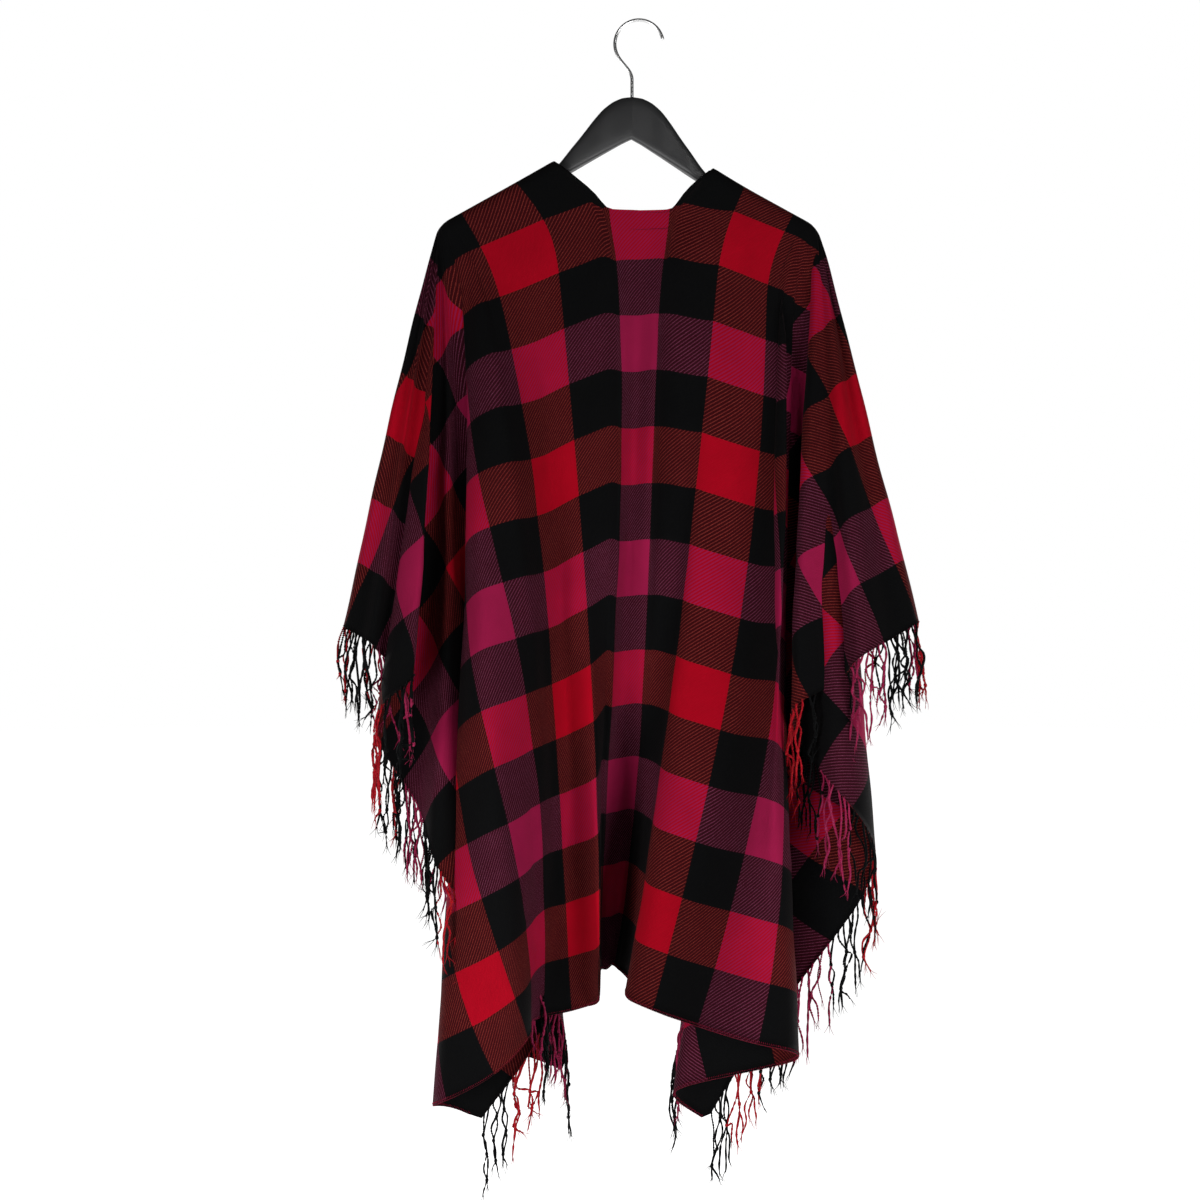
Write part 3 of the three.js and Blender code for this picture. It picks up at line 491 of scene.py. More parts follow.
# ---- materials ----
class Nodes:
    """Small helper that builds a material's nodes."""

    def __init__(self, name):
        self.mat = bpy.data.materials.new(name)
        self.mat.use_nodes = True
        self.tree = self.mat.node_tree
        self.tree.nodes.clear()
        self.out = self.tree.nodes.new("ShaderNodeOutputMaterial")
        self.bsdf = self.tree.nodes.new("ShaderNodeBsdfPrincipled")
        self.tree.links.new(self.bsdf.outputs[0], self.out.inputs["Surface"])

    def put(self, socket, value):
        if hasattr(value, "is_output"):
            self.tree.links.new(value, socket)
        else:
            socket.default_value = value

    def math(self, op, a, b=None, c=None, clamp=False):
        n = self.tree.nodes.new("ShaderNodeMath")
        n.operation, n.use_clamp = op, clamp
        for i, v in enumerate((a, b, c)):
            if v is not None:
                self.put(n.inputs[i], v)
        return n.outputs[0]

    def mix(self, f, a, b, blend="MIX"):
        n = self.tree.nodes.new("ShaderNodeMix")
        n.data_type, n.blend_type = "RGBA", blend
        self.put(n.inputs[0], f)
        self.put(n.inputs[6], (*a, 1) if isinstance(a, tuple) else a)
        self.put(n.inputs[7], (*b, 1) if isinstance(b, tuple) else b)
        return n.outputs[2]

    def smoothstep(self, x, lo, hi):
        n = self.tree.nodes.new("ShaderNodeMapRange")
        n.interpolation_type = "SMOOTHSTEP"
        self.put(n.inputs[0], x)
        n.inputs[1].default_value, n.inputs[2].default_value = lo, hi
        n.inputs[3].default_value, n.inputs[4].default_value = 0.0, 1.0
        return n.outputs[0]

    def combine(self, x, y, z=0.0):
        n = self.tree.nodes.new("ShaderNodeCombineXYZ")
        for i, v in enumerate((x, y, z)):
            self.put(n.inputs[i], v)
        return n.outputs[0]

    def uv(self, name):
        n = self.tree.nodes.new("ShaderNodeUVMap")
        n.uv_map = name
        s = self.tree.nodes.new("ShaderNodeSeparateXYZ")
        self.tree.links.new(n.outputs[0], s.inputs[0])
        return s.outputs[0], s.outputs[1]

    def place(self):
        return self.tree.nodes.new("ShaderNodeTexCoord").outputs["Object"]

    def noise(self, vector, scale, detail=2.0, rough=0.5):
        n = self.tree.nodes.new("ShaderNodeTexNoise")
        self.put(n.inputs["Vector"], vector)
        n.inputs["Scale"].default_value = scale
        n.inputs["Detail"].default_value = detail
        n.inputs["Roughness"].default_value = rough
        return n.outputs["Fac"] if "Fac" in n.outputs else n.outputs[0]

    def bump(self, height, strength, distance, normal=None):
        n = self.tree.nodes.new("ShaderNodeBump")
        n.inputs["Strength"].default_value = strength
        n.inputs["Distance"].default_value = distance
        self.put(n.inputs["Height"], height)
        if normal is not None:
            self.put(n.inputs["Normal"], normal)
        return n.outputs[0]


RED_YARN = (0.335, 0.0005, 0.0095)
MAGENTA_YARN = (0.265, 0.0075, 0.049)
BLACK_YARN = (0.0022, 0.0024, 0.0026)
# Paler, more orange and pink colours of the red and magenta yarn: painted highlight that stands for light caught on the
# fuzz.
RED_NAP_HIGHLIGHT = (0.46, 0.13, 0.085)
MAGENTA_NAP_HIGHLIGHT = (0.36, 0.15, 0.27)
YARN = 1.22  # mm from thread to thread
TWILL = 4 * YARN


def band(n, x, even_zero, even_two):
    """Yarn colour, its paler colour painted as highlight on the fuzz, and whether it is black, for stripe number x."""
    k = n.math("FLOORED_MODULO", x, 4.0)
    black = n.math("FLOORED_MODULO", x, 2.0)
    two = n.math("COMPARE", k, 2.0, 0.25)
    colour = n.mix(two, even_zero[0], even_two[0])
    nap_highlight = n.mix(two, even_zero[1], even_two[1])
    return n.mix(black, colour, BLACK_YARN), nap_highlight, black


def cloth_material():
    n = Nodes("cloth_twill")
    a, b = n.uv("cut")
    u, v = n.math("MULTIPLY", a, CHECK_W), n.math("MULTIPLY", b, CHECK_H)
    flat = n.combine(u, v)
    fuzz = n.noise(flat, 1.1, 2.0, 0.6)  # nap, about a millimetre
    fibre = n.noise(n.combine(n.math("MULTIPLY", u, 2.6), n.math("MULTIPLY", v, 0.7)), 1.6, 2.0, 0.6)
    broad = n.noise(flat, 0.018, 3.0, 0.55)
    wob = n.math("MULTIPLY", n.math("SUBTRACT", fuzz, 0.5), 0.9)
    col = n.math("FLOOR", n.math("ADD", n.math("DIVIDE", n.math("ADD", u, wob), CHECK_W), 0.5))
    row = n.math("FLOOR", n.math("SUBTRACT", n.math("DIVIDE", n.math("ADD", v, wob), CHECK_H), 0.5))
    warp, warp_nap_highlight, warp_black = band(n, col, (MAGENTA_YARN, MAGENTA_NAP_HIGHLIGHT), (RED_YARN, RED_NAP_HIGHLIGHT))
    weft, weft_nap_highlight, weft_black = band(n, row, (RED_YARN, RED_NAP_HIGHLIGHT), (MAGENTA_YARN, MAGENTA_NAP_HIGHLIGHT))
    # two-up two-down twill: the weft floats on one half of each diagonal
    p = n.math("FRACT", n.math("DIVIDE", n.math("ADD", n.math("ADD", u, v), n.math("MULTIPLY", wob, 1.7)), TWILL))
    tri = n.math("ABSOLUTE", n.math("SUBTRACT", n.math("MULTIPLY", p, 2.0), 1.0))
    over = n.smoothstep(tri, 0.36, 0.64)
    mixed = n.math("ABSOLUTE", n.math("SUBTRACT", warp_black, weft_black))
    # in a mixed check the coloured yarn shows as narrow diagonal lines on the black one
    up = n.math("ABSOLUTE", n.math("SUBTRACT", tri, weft_black))
    on = n.smoothstep(up, 0.56, 0.90)
    fibre_and_highlight_speck = n.smoothstep(fibre, 0.42, 0.72)
    yarn = n.mix(weft_black, weft, warp)
    # painted highlight: lit is the coloured yarn's paler highlight colour; the twill lines and fibre specks are mixed
    # toward it
    lit = n.mix(weft_black, weft_nap_highlight, warp_nap_highlight)
    line = n.mix(n.math("MULTIPLY_ADD", fibre_and_highlight_speck, 0.62, 0.12), yarn, lit)
    ground = n.mix(n.math("MULTIPLY_ADD", fuzz, 0.12, 0.03), BLACK_YARN, yarn)
    two_yarns = n.mix(n.math("MULTIPLY", on, n.math("MULTIPLY_ADD", fibre_and_highlight_speck, 0.66, 0.16)), ground, line)
    colour = n.mix(mixed, n.mix(over, warp, weft), two_yarns)
    # painted highlight: in single-colour checks a few fibre specks take the paler highlight colour
    one = n.math("MULTIPLY", n.math("SUBTRACT", 1.0, mixed), n.math("SUBTRACT", 1.0, weft_black))
    colour = n.mix(n.math("MULTIPLY", one, n.math("MULTIPLY", n.math("MULTIPLY", fibre_and_highlight_speck, over), 0.016)), colour, lit)
    # tone: nap shade and slow unevenness
    # tone: random tone of the fuzz and slow unevenness, and painted shade along the twill's grooves
    tone = n.math("MULTIPLY_ADD", n.math("SUBTRACT", fuzz, 0.5), 0.55, 1.0)
    tone = n.math("MULTIPLY", tone, n.math("MULTIPLY_ADD", n.math("SUBTRACT", broad, 0.5), 0.35, 1.0))
    # painted shade: darker where warp and weft floats meet, in the twill's grooves, lighter on the floats
    tone = n.math("MULTIPLY", tone, n.math("MULTIPLY_ADD", n.math("ABSOLUTE", n.math("SUBTRACT", tri, 0.5)), 0.30, 0.92))
    colour = n.mix(1.0, colour, n.combine(tone, tone, tone), "MULTIPLY")
    n.put(n.bsdf.inputs["Base Color"], colour)
    n.put(n.bsdf.inputs["Roughness"], n.math("MULTIPLY_ADD", fuzz, 0.10, 0.86))
    n.bsdf.inputs["Specular IOR Level"].default_value = 0.04
    n.bsdf.inputs["Sheen Weight"].default_value = 0.012
    n.bsdf.inputs["Sheen Roughness"].default_value = 0.55
    n.bsdf.inputs["Sheen Tint"].default_value = (1.0, 0.72, 0.75, 1)
    across = n.math("ABSOLUTE", n.math("SINE", n.math("MULTIPLY", v, math.pi / YARN)))
    along = n.math("ABSOLUTE", n.math("SINE", n.math("MULTIPLY", u, math.pi / YARN)))
    thread = n.math("ADD", n.math("MULTIPLY", across, over), n.math("MULTIPLY", along, n.math("SUBTRACT", 1.0, over)))
    height = n.math("ADD", n.math("MULTIPLY", tri, 0.5), n.math("MULTIPLY_ADD", thread, 0.5, n.math("MULTIPLY", fuzz, 0.8)))
    n.put(n.bsdf.inputs["Normal"], n.bump(height, 0.55, 0.00035))
    return n.mat


def yarn_material(name, stripe_from_uv=True, colour=None):
    n = Nodes(name)
    run, b = n.uv("cut")
    where = n.place()
    fuzz = n.noise(where, 900.0, 2.0, 0.6)
    if stripe_from_uv:
        row = n.math("FLOOR", n.math("SUBTRACT", b, 0.5))
        base, nap_highlight, black = band(n, row, (RED_YARN, RED_NAP_HIGHLIGHT), (MAGENTA_YARN, MAGENTA_NAP_HIGHLIGHT))
        # painted highlight: where the fuzz noise is high, the coloured yarn is mixed toward its paler highlight colour
        light = n.smoothstep(fuzz, 0.45, 0.7)
        base = n.mix(n.math("MULTIPLY", n.math("SUBTRACT", 1.0, black), n.math("MULTIPLY", light, 0.22)), base, nap_highlight)
    else:
        base = n.mix(n.smoothstep(fuzz, 0.4, 0.7), colour, tuple(min(1.0, c * 1.5 + 0.004) for c in colour))
    tone = n.math("MULTIPLY_ADD", fuzz, 0.7, 0.6)
    n.put(n.bsdf.inputs["Base Color"], n.mix(1.0, base, n.combine(tone, tone, tone), "MULTIPLY"))
    n.bsdf.inputs["Roughness"].default_value = 0.88
    n.bsdf.inputs["Specular IOR Level"].default_value = 0.05
    n.bsdf.inputs["Sheen Weight"].default_value = 0.02
    n.bsdf.inputs["Sheen Roughness"].default_value = 0.5
    n.put(n.bsdf.inputs["Normal"], n.bump(fuzz, 0.5, 0.0003))
    return n.mat


def hanger_material():
    n = Nodes("hanger_satin_black")
    where = n.place()
    grain = n.noise(where, 700.0, 3.0, 0.6)
    slow = n.noise(where, 22.0, 3.0, 0.5)
    base = n.mix(n.math("MULTIPLY", slow, 0.7), (0.0125, 0.0125, 0.0132), (0.0200, 0.0200, 0.0208))
    n.put(n.bsdf.inputs["Base Color"], base)
    n.put(n.bsdf.inputs["Roughness"], n.math("MULTIPLY_ADD", slow, 0.10, n.math("MULTIPLY_ADD", grain, 0.08, 0.33)))
    n.bsdf.inputs["Specular IOR Level"].default_value = 0.42
    n.put(n.bsdf.inputs["Normal"], n.bump(grain, 0.16, 0.0003))
    return n.mat


def chrome_material():
    n = Nodes("hook_polished_wire")
    where = n.place()
    draw = n.noise(where, 260.0, 2.0, 0.5)
    slow = n.noise(where, 30.0, 2.0, 0.5)
    n.put(n.bsdf.inputs["Base Color"], n.mix(slow, (0.56, 0.56, 0.56), (0.66, 0.66, 0.66)))
    n.bsdf.inputs["Metallic"].default_value = 1.0
    n.put(n.bsdf.inputs["Roughness"], n.math("MULTIPLY_ADD", draw, 0.06, 0.20))
    return n.mat


# ---- the object ----
# Creases and soft folds laid on the cloth, in checks of the flat cloth:
# from column, from row, to column, to row, half width mm, height mm (outwards)
BACK_FOLDS = [
    (-0.2, 1.0, -0.22, 14.3, 3.2, 0.9),
    (-0.75, 1.3, -1.30, 3.6, 13, 2.2),
    (0.75, 1.3, 1.20, 3.4, 13, 2.0),
    (-0.45, 1.5, -0.55, 3.4, 9, -1.5),
    (0.42, 1.4, 0.50, 3.0, 9, -1.3),
    (-1.9, 1.2, -2.10, 4.2, 12, 2.2),
    (2.0, 1.2, 2.30, 4.6, 12, 2.0),
    (-2.7, 1.5, -3.20, 4.0, 10, -2.0),
    (2.9, 1.5, 3.30, 4.2, 10, -2.0),
    (-1.2, 5.2, -1.90, 8.6, 15, 2.0),
    (1.3, 5.0, 1.50, 8.8, 15, -2.0),
    (0.2, 6.0, 0.50, 9.6, 11, 1.4),
    (-0.7, 8.2, -0.80, 12.4, 10, -1.5),
    (-2.1, 9.4, -2.60, 13.8, 12, 2.4),
    (2.4, 9.0, 2.90, 13.9, 13, 2.2),
    (3.6, 8.4, 4.00, 12.0, 11, -2.0),
    (-3.4, 8.8, -3.90, 12.6, 11, -2.0),
    (1.1, 10.2, 1.20, 14.2, 8, 1.4),
    (-5.6, 10.8, -6.40, 14.0, 12, 2.0),
    (5.7, 10.4, 6.20, 13.8, 12, 2.0),
    (-6.8, 3.0, -8.90, 6.2, 14, 2.2),
    (6.9, 3.2, 8.80, 6.4, 14, 2.2),
    (-7.6, 2.2, -9.20, 4.4, 10, -1.6),
    (7.5, 2.3, 9.10, 4.6, 10, -1.6),
    (-5.2, 2.6, -6.90, 5.9, 12, 1.8),
    (5.3, 2.8, 7.10, 6.1, 12, 1.8),
    (-1.6, 3.3, -0.90, 3.6, 6, 1.0),
    (0.9, 4.4, 1.70, 4.2, 6, 1.0),
    (-2.4, 7.3, -1.50, 7.6, 6, 0.9),
    (1.9, 7.9, 2.80, 7.6, 6, 0.9),
    (-0.3, 11.1, 0.60, 11.3, 6, 0.8),
    (-4.9, 12.2, -4.10, 12.5, 6, 1.0),
    (4.6, 11.4, 5.50, 11.1, 6, 1.0),
]
FRONT_FOLDS = [
    (1.0, -0.9, 1.20, -4.6, 11, 2.0),
    (1.9, -1.2, 2.30, -5.4, 12, -1.8),
    (0.5, -4.4, 0.60, -9.6, 9, 1.4),
    (2.6, -4.8, 3.00, -9.2, 13, 2.2),
    (1.4, -6.6, 1.60, -11.4, 11, -1.6),
    (3.6, -8.2, 4.20, -12.6, 12, 2.0),
    (0.9, -9.8, 1.00, -13.8, 9, 1.4),
    (5.0, -10.4, 5.90, -13.6, 12, 2.0),
    (5.2, -2.8, 7.00, -5.9, 12, 1.8),
    (6.8, -3.1, 8.80, -6.3, 13, 2.2),
    (7.6, -2.2, 9.10, -4.5, 10, -1.6),
    (0.4, -2.2, 1.20, -2.5, 6, 1.0),
    (1.7, -7.4, 2.60, -7.1, 6, 0.9),
    (2.9, -11.6, 3.80, -11.9, 6, 1.0),
]


def relief(folds, side, seed):
    """Height of the laid-on folds, outwards, with a slow unevenness of under a millimetre."""
    waves = np.random.default_rng(seed).uniform(0, 1, (7, 4))

    def height(u, v, ell):
        h = np.zeros_like(u)
        for a0, b0, a1, b1, width, high in folds:
            p, q = np.array([a0 * CHECK_W * side, b0 * CHECK_H]), np.array([a1 * CHECK_W * side, b1 * CHECK_H])
            d = q - p
            long = np.linalg.norm(d)
            d = d / long
            along = (u - p[0]) * d[0] + (v - p[1]) * d[1]
            bow = 0.035 * long * np.sin(np.clip(along / long, 0, 1) * math.pi)
            off = (u - p[0]) * d[1] - (v - p[1]) * d[0] + bow
            ends = smooth(along / (0.3 * long) + 0.15) * smooth((long - along) / (0.3 * long) + 0.15)
            h += high * np.exp(-((off / width) ** 2)) * ends
        for a, b, c, e in waves:
            w = 2 * math.pi / (70 + 110 * a)
            turn = 2 * math.pi * b
            h += 0.28 * np.sin(w * (u * math.cos(turn) + v * math.sin(turn)) + 6.3 * c) * (0.5 + e)
        return h * smooth(ell / 60)

    return height


def front_shoulder(sign):
    rows = [r for r in SHOULDER if r[0] == 0 or abs(r[0]) * CHECK_W > NECK_HALF - 0.01]
    return [(0.0, sign * NECK_FALL, NECK_FALL_Z[sign], r[3], 0) if r[0] == 0 else r for r in rows]


TWILL_CLOTH = cloth_material()
FRINGE_YARN = yarn_material("fringe_twisted_yarn")

back, back_net = cloth("wrap_back", Drape(BACK, -1, SHOULDER), 7.5, 132, relief(BACK_FOLDS, 1, 21))
left, left_net = cloth("wrap_front_left", Drape(FRONT_LEFT, 1, front_shoulder(-1)), 7.0, 150, relief(FRONT_FOLDS, -1, 22))
right, right_net = cloth("wrap_front_right", Drape(FRONT_RIGHT, 1, front_shoulder(1)), 7.0, 150, relief(FRONT_FOLDS, 1, 23))
for ob, node in ((back, "cloth_back"), (left, "cloth_front_left"), (right, "cloth_front_right")):
    ob.data.materials.append(TWILL_CLOTH)
    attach(ob, "root")
    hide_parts(node)


def strands(name, net, side, nodes, seed):
    """Twisted yarn ends along one side edge, hanging on from the cloth, in knotted twos and threes."""
    rng = np.random.default_rng(seed)
    drape = net["drape"]
    fine = np.linspace(HI if side == "R" else drape.at[0], drape.at[-1] if side == "R" else LO, 500)
    th = Thread(fine, SHOULDER, drape.front)
    ok = th.to_side
    fine = fine[ok]
    b = (th.v + th.dv * th.length)[ok]
    order = np.argsort(b)
    fine, b = fine[order], b[order]
    at = []
    x = b[0] + 3
    while x < b[-1] - 3:
        at.append(x)
        x += 8.0 + 2.6 * rng.random()
    at = np.array(at)
    s = np.interp(at, b, fine)
    th, _, _, last = drape.paths(s)
    P, cut, _ = drape.points(s, (1 - 2.0 / th.length)[:, None])
    P, row = P[:, 0], cut[:, 0, 1]
    K = 26
    free = []
    for i in range(len(s)):
        long = 84 + 24 * rng.random() - (26 if rng.random() < 0.15 else 0)
        step = long / (K - 1)
        d = last[i] / np.linalg.norm(last[i])
        w = rng.normal(0, 1, (3, 3))
        pts = [P[i]]
        for j in range(1, K):
            l = j * step
            fall = 1 - math.exp(-l / 24)
            wob = sum(w[m] * math.sin(l / (6.5 + 5 * m) + 2.1 * m) for m in range(3)) * np.array([0.15, 0.13, 0.03])
            dd = d * (1 - fall) + np.array([0, 0, -1.0]) * fall + wob
            dd /= np.linalg.norm(dd)
            pts.append(pts[-1] + dd * step)
        free.append(np.array(pts))
    out = np.array(free)
    # yarn ends knotted to their neighbours, with loose loops between the knots
    knots, knot_rows = [], []
    i = 0
    k = np.arange(K) / (K - 1)
    while i < len(s):
        size = int(rng.choice([1, 2, 2, 2, 2, 3, 3, 4]))
        group = list(range(i, min(i + size, len(s))))
        if len(group) > 1:
            spots = ([0.22 + 0.14 * rng.random()] if rng.random() < 0.55 else []) + [0.50 + 0.16 * rng.random()]
            if rng.random() < 0.5:
                spots.append(0.80 + 0.10 * rng.random())
            along = out[group[-1]][0] - out[group[0]][0]
            along /= max(np.linalg.norm(along), 1e-6)
            for n, knot in enumerate(spots):
                kk = int(round(knot * (K - 1)))
                centre = np.mean([out[g][kk] for g in group], axis=0) + rng.normal(0, 1.6, 3)
                before = spots[n - 1] if n else 0.0
                for c, g in enumerate(group):
                    pull = np.exp(-(((k - knot) / np.where(k < knot, 0.16, 0.10)) ** 2))
                    hold = smooth(k / 0.18)
                    out[g] = out[g] + (centre - out[g][kk]) * (pull * hold)[:, None]
                    loop = np.sin(np.clip((k - before) / (knot - before), 0, 1) * math.pi)
                    lean = (c - (len(group) - 1) / 2) * (2.2 + 2.6 * rng.random())
                    out[g] = out[g] + along * (loop * lean * (0.35 if n == 0 else 1.0))[:, None]
                d = out[group[0]][kk] - out[group[0]][kk - 2]
                d /= max(np.linalg.norm(d), 1e-6)
                knots.append(np.array([centre + d * q for q in (-2.9, -1.6, 0.0, 1.6, 2.9)]))
                knot_rows.append(row[group[0]])
        i += size
    radii = []
    for g in range(len(s)):
        r = np.full(K, 1.12 + 0.26 * rng.random())
        r[0] *= 1.15
        r[-3:] *= np.array([0.95, 0.75, 0.45])
        radii.append(r)
    tips, tip_rows = [], []
    for g in range(len(s)):  # frayed ends
        for _ in range(3):
            d = out[g][-1] - out[g][-3]
            d = d / np.linalg.norm(d) + rng.normal(0, 0.16, 3)
            q = [out[g][-2]]
            for j in range(1, 5):
                d = d / np.linalg.norm(d) + rng.normal(0, 0.14, 3)
                q.append(q[-1] + d / np.linalg.norm(d) * (2.6 + 2.0 * rng.random()))
            tips.append(np.array(q))
            tip_rows.append(row[g])
    ob = tubes(name, list(out), radii, 7, twist=1.3, lobes=0.26, uvs=list(row))
    size = [np.array([0.8, 1.9, 2.2, 1.9, 0.8])] * len(knots) + [np.array([0.40, 0.34, 0.28, 0.22, 0.12])] * len(tips)
    tip = tubes(name + "_knots_and_ends", knots + tips, size, 6, uvs=knot_rows + tip_rows)
    for o in (ob, tip):
        o.data.materials.append(FRINGE_YARN)
        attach(o, "root")
    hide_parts(*nodes)
    return ob, tip


FRINGES = {
    "back_left": strands("fringe_yarns_back_left", back_net, "L", ("fringe_back_left_1", "fringe_back_left_2", "fringe_back_left_3"), 11),
    "back_right": strands("fringe_yarns_back_right", back_net, "R", ("fringe_back_right_1", "fringe_back_right_2", "fringe_back_right_3"), 12),
    "front_left": strands("fringe_yarns_front_left", left_net, "L", ("fringe_front_left",), 13),
    "front_right": strands("fringe_yarns_front_right", right_net, "R", ("fringe_front_right",), 14),
}


# ---- hanger ----
BODY = [
    # out, top, bottom, depth
    (0, -91.2, -141.6, 13),
    (12, -92.6, -147.6, 14),
    (24, -98.0, -154.6, 15),
    (36, -108.0, -161.6, 17),
    (48, -122.8, -168.8, 18),
    (60, -139.4, -176.0, 19),
    (72, -155.0, -183.2, 20),
    (84, -170.6, -190.6, 17),
    (96, -183.6, -199.0, 18),
    (130, -202.0, -219.0, 25),
    (170, -225.0, -241.0, 28),
    (188, -235.0, -250.0, 28),
    (197, -243.0, -250.5, 22),
]
HANGER_TILT = math.radians(-1.8)
WIRE, HOOK_R, STEM_DEPTH = 1.9, 29.0, 22.0


def hanger_form():
    """The contoured body: flat faces with rounded edges, its two arms meeting in a ridge at the centre."""
    table = np.array(BODY, float)
    out = np.concatenate([np.linspace(0, 96, 49), np.linspace(100, 197, 26)])
    m = spline(table[:, 0], table[:, 1:], out)
    lin = np.stack([np.interp(out, table[:, 0], table[:, k]) for k in (1, 2, 3)], -1)
    m = 0.65 * m + 0.35 * lin
    x = np.concatenate([-out[:0:-1], out])
    m = np.concatenate([m[:0:-1], m])
    N = 44
    ang = np.arange(N) / N * 2 * math.pi
    c, s = np.cos(ang), np.sin(ang)
    power = 0.80 - 0.26 * (1 - smooth((np.abs(x) - 70) / 22))
    y = ARM_SWEEP * np.abs(x)[:, None] + np.sign(c) * np.abs(c)[None, :] ** power[:, None] * m[:, 2:3] / 2
    z = (m[:, 0:1] + m[:, 1:2]) / 2 + np.sign(s) * np.abs(s)[None, :] ** power[:, None] * (m[:, 0:1] - m[:, 1:2]) / 2
    X = np.broadcast_to(x[:, None], y.shape)
    V = np.stack([X, y, z], -1).reshape(-1, 3)
    R = len(x)
    idx = np.arange(R * N).reshape(R, N)
    nxt = np.roll(idx, -1, axis=1)
    q = np.stack([idx[:-1], nxt[:-1], nxt[1:], idx[1:]], -1).reshape(-1, 4)
    F = [q[:, [0, 1, 2]], q[:, [0, 2, 3]]]
    ends = np.stack([V[idx[0]].mean(0) + [-3, 0, 0], V[idx[-1]].mean(0) + [3, 0, 0]])
    F.append(np.stack([nxt[0], idx[0], np.full(N, R * N)], -1))
    F.append(np.stack([idx[-1], nxt[-1], np.full(N, R * N + 1)], -1))
    V = np.concatenate([V, ends])
    z0 = V[:, 2] + 115
    ca, sa = math.cos(-HANGER_TILT), math.sin(-HANGER_TILT)
    V = np.stack([V[:, 0] * ca + z0 * sa, V[:, 1], -V[:, 0] * sa + z0 * ca - 115], -1)
    ob = to_object("hanger_form", V, np.concatenate(F))
    mid = R // 2
    ring = set(range(mid * N, (mid + 1) * N))
    sharp = np.zeros(len(ob.data.edges), bool)
    ev = np.empty(len(ob.data.edges) * 2, np.int32)
    ob.data.edges.foreach_get("vertices", ev)
    ev = ev.reshape(-1, 2)
    inside = np.isin(ev, list(ring)).all(axis=1)
    sharp[inside] = True
    ob.data.edges.foreach_set("use_edge_sharp", sharp)
    return ob


def hook_line():
    turn = math.radians(200)
    cz = WIRE - HOOK_R
    bottom = BODY[0][1] - STEM_DEPTH
    pts = [np.array([0, 0, z]) for z in np.linspace(bottom, -70, 14)]
    join = np.array([CROWN_X + HOOK_R * math.cos(turn), 0, cz + HOOK_R * math.sin(turn)])
    p0, p1, p2, p3 = np.array([0, 0, -70.0]), np.array([0, 0, -57.0]), join + np.array([5, 0, -14.0]), join
    for q in np.linspace(0, 1, 22)[1:]:
        pts.append((1 - q) ** 3 * p0 + 3 * (1 - q) ** 2 * q * p1 + 3 * (1 - q) * q * q * p2 + q**3 * p3)
    for q in np.linspace(0, 1, 64)[1:]:
        w = turn - q * math.radians(188)
        pts.append(np.array([CROWN_X + HOOK_R * math.cos(w), 0, cz + HOOK_R * math.sin(w)]))
    d = pts[-1] - pts[-2]
    d /= np.linalg.norm(d)
    r = [WIRE] * len(pts)
    for k in (0.35, 0.65, 0.85, 0.97):  # rounded end
        pts.append(pts[-1] + d * WIRE * 0.22)
        r.append(WIRE * math.sqrt(1 - k * k))
    return np.array(pts), np.array(r)


hanger = hanger_form()
hanger.data.materials.append(hanger_material())
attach(hanger, "root")
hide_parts("hanger_body")
line, radius = hook_line()
hook = tubes("hook_wire", [line], [radius], 20)
hook.data.materials.append(chrome_material())
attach(hook, "root")
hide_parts("hanger_hook")


# ---- sewing ----
def stitches(name, net, offset, pitch, length, reach):
    """A row of short stitches on the back's outer face, a given distance below the neck edge."""
    drape = net["drape"]
    s = np.linspace(-reach, reach, 400)
    th = Thread(s, SHOULDER, -1)
    t = neck_share(s, -1) + offset / th.length
    P, cut, _ = drape.points(s, t[:, None])
    Q, _, _ = drape.points(s, (t + 0.004)[:, None])
    P, Q = P[:, 0], Q[:, 0]
    across = np.gradient(P, axis=0)
    N = np.cross(across, Q - P)
    N /= np.linalg.norm(N, axis=1, keepdims=True)
    N = np.where(N[:, 1:2] > 0, -N, N)
    L = P + N * (SHELL / 2 + 0.12)
    run = np.concatenate([[0], np.cumsum(np.linalg.norm(np.diff(L, axis=0), axis=1))])
    lines, radii = [], []
    x = 0.6
    while x + length < run[-1]:
        q = np.linspace(x, x + length, 5)
        p = np.stack([np.interp(q, run, L[:, k]) for k in range(3)], -1)
        n = np.stack([np.interp(q, run, N[:, k]) for k in range(3)], -1)
        p = p - n * np.array([0.35, 0.02, 0, 0.02, 0.35])[:, None]
        lines.append(p)
        radii.append(np.array([0.2, 0.27, 0.3, 0.27, 0.2]))
        x += pitch
    return tubes(name, lines, radii, 6)


STITCH = yarn_material("sewing_thread", False, (0.05, 0.004, 0.016))
for ob in (
    stitches("neck_stitching_edge", back_net, 3.2, 3.3, 2.6, 0.74 * NECK_HALF),
    stitches("neck_stitching_facing", back_net, 23.0, 3.3, 2.6, 0.62 * NECK_HALF),
):
    ob.data.materials.append(STITCH)
    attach(ob, "root")


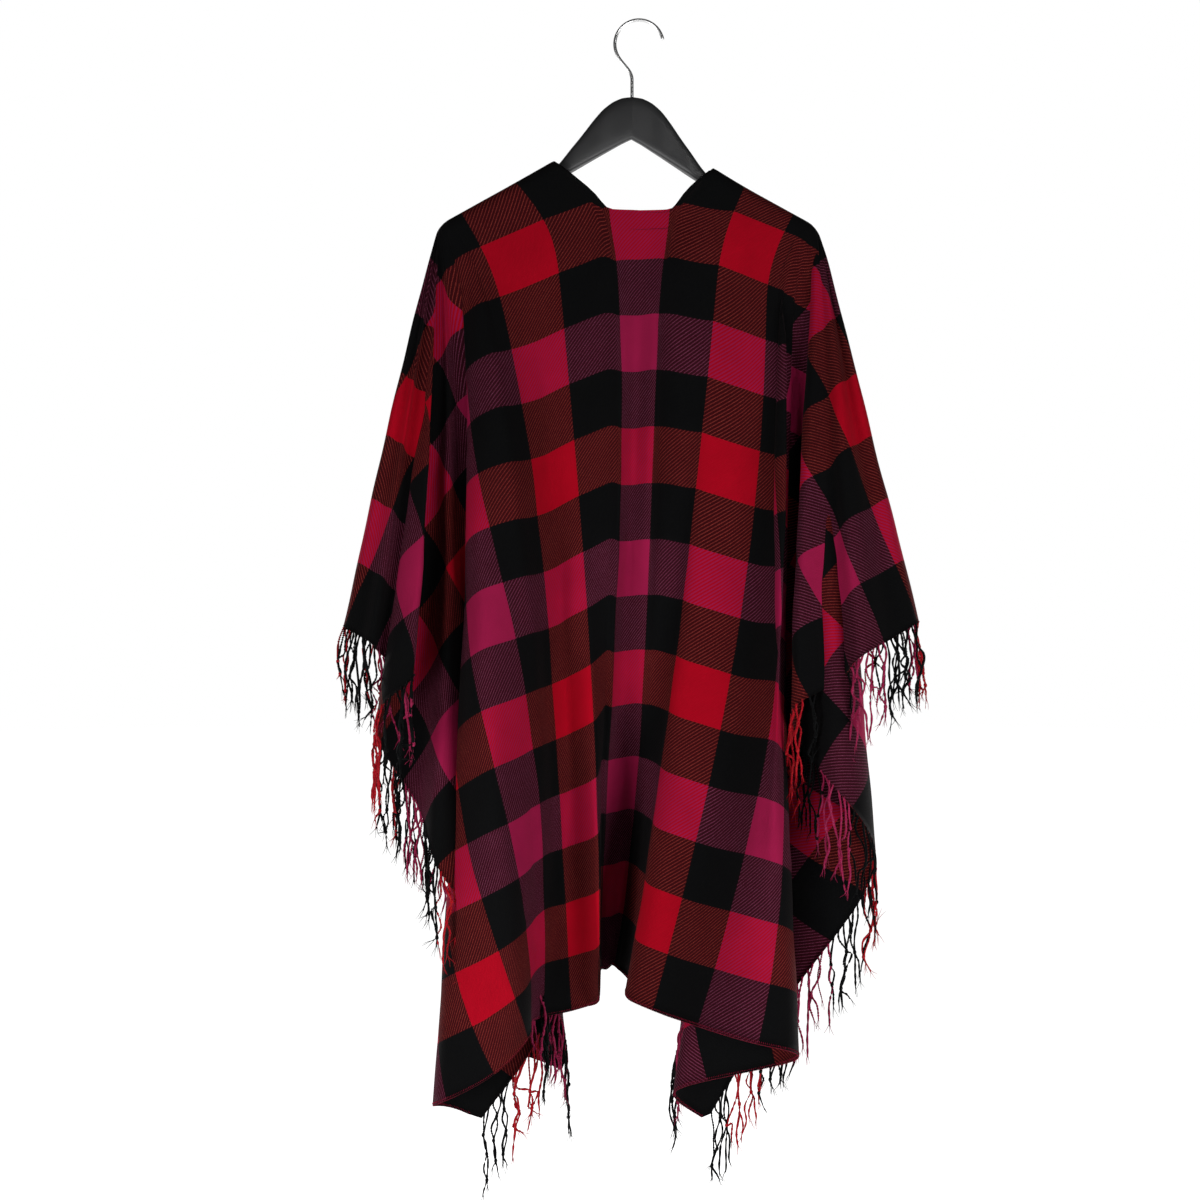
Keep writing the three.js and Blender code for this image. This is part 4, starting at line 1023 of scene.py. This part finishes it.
def overlock(name, net, seed):
    """Overlock thread along a hem: a fine zigzag over the edge."""
    th = net["th"]
    keep = ~th.to_side
    P, N = net["P"][keep, -1], net["N"][keep, -1]
    down = net["P"][keep, -1] - net["P"][keep, -2]
    down /= np.linalg.norm(down, axis=1, keepdims=True)
    run = np.concatenate([[0], np.cumsum(np.linalg.norm(np.diff(P, axis=0), axis=1))])
    pitch = 2.2
    n = int(run[-1] / pitch) * 4
    q = np.linspace(0, run[-1], n)
    f = lambda A: np.stack([np.interp(q, run, A[:, k]) for k in range(3)], -1)
    p, nn, dd = f(P), f(N), f(down)
    ph = np.arange(n) % 4
    side = np.array([1.0, 0.0, -1.0, 0.0])[ph][:, None] * (SHELL / 2 + 0.3)
    back_ = np.array([-3.2, 0.6, -3.2, 0.6])[ph][:, None]
    L = p + nn * side + dd * back_
    return tubes(name, [L], [np.full(n, 0.34)], 4)


HEM = yarn_material("hem_overlock_thread", False, (0.30, 0.006, 0.035))
for key, net in (("back", back_net), ("front_left", left_net), ("front_right", right_net)):
    ob = overlock("hem_overlock_" + key, net, 1)
    ob.data.materials.append(HEM)
    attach(ob, "root")


# ---- stage, light and camera ----
def stage():
    n = 96
    prof = [(0.0, -1.75), (3.0, -1.75), (6.0, -1.75), (9.0, -1.75), (14.0, -1.75)]
    verts, faces = [(0, 0, -1.75)], []
    for r, z in prof[1:]:
        verts += [(r * math.cos(2 * math.pi * i / n), r * math.sin(2 * math.pi * i / n), z) for i in range(n)]
    for i in range(n):
        faces.append((0, 1 + i, 1 + (i + 1) % n))
    for k in range(len(prof) - 2):
        for i in range(n):
            a, b = 1 + k * n + i, 1 + k * n + (i + 1) % n
            faces.append((a, a + n, b + n, b))
    me = bpy.data.meshes.new("floor")
    me.from_pydata(verts, [], faces)
    ob = bpy.data.objects.new("floor", me)
    bpy.context.scene.collection.objects.link(ob)
    m = Nodes("floor_pale")
    m.bsdf.inputs["Base Color"].default_value = (0.86, 0.86, 0.86, 1)
    m.bsdf.inputs["Roughness"].default_value = 0.9
    m.bsdf.inputs["Emission Color"].default_value = (1, 1, 1, 1)
    m.bsdf.inputs["Emission Strength"].default_value = 1.0
    ob.data.materials.append(m.mat)
    ob.visible_diffuse = False


stage()
world = bpy.data.worlds.new("studio")
bpy.context.scene.world = world
world.use_nodes = True
wt = world.node_tree
bg = wt.nodes["Background"]
bg.inputs[0].default_value = (1, 1, 1, 1)
path = wt.nodes.new("ShaderNodeLightPath")
level = wt.nodes.new("ShaderNodeMapRange")
level.inputs[3].default_value, level.inputs[4].default_value = 0.11, 1.0  # soft fill, and the white surround behind
wt.links.new(path.outputs["Is Camera Ray"], level.inputs[0])
wt.links.new(level.outputs[0], bg.inputs[1])
bpy.context.scene.view_settings.view_transform = "Standard"


def softbox(name, at, aim, size, watts, spread):
    from mathutils import Vector

    d = bpy.data.lights.new(name, "AREA")
    d.shape, d.size, d.energy, d.spread = "SQUARE", size, watts, math.radians(spread)
    o = bpy.data.objects.new(name, d)
    o.location = at
    o.rotation_euler = (Vector(aim) - Vector(at)).to_track_quat("-Z", "Y").to_euler()
    bpy.context.scene.collection.objects.link(o)


softbox("key_right", (1.15, -1.35, -1.32), (0.02, 0, -1.04), 0.8, 8.8, 112)
softbox("fill_left", (-1.20, -1.40, -1.32), (-0.04, 0, -1.06), 0.8, 9.6, 112)
softbox("top_right", (0.72, -2.5, 0.12), (0.0, 0, -0.14), 0.45, 1.0, 60)
softbox("front_right", (1.45, 1.5, -1.1), (0.02, 0, -0.85), 0.9, 15, 150)
softbox("front_left", (-1.45, 1.5, -0.9), (-0.02, 0, -0.8), 0.9, 15, 150)

cam_data = bpy.data.cameras.new("camera")
cam_data.lens, cam_data.sensor_width, cam_data.sensor_fit = 57.5, 36.0, "HORIZONTAL"
cam = bpy.data.objects.new("camera", cam_data)
cam.location = (-0.0468, -2.3, -0.6942)
cam.rotation_euler = (math.pi / 2, 0, 0)
bpy.context.scene.collection.objects.link(cam)
bpy.context.scene.camera = cam
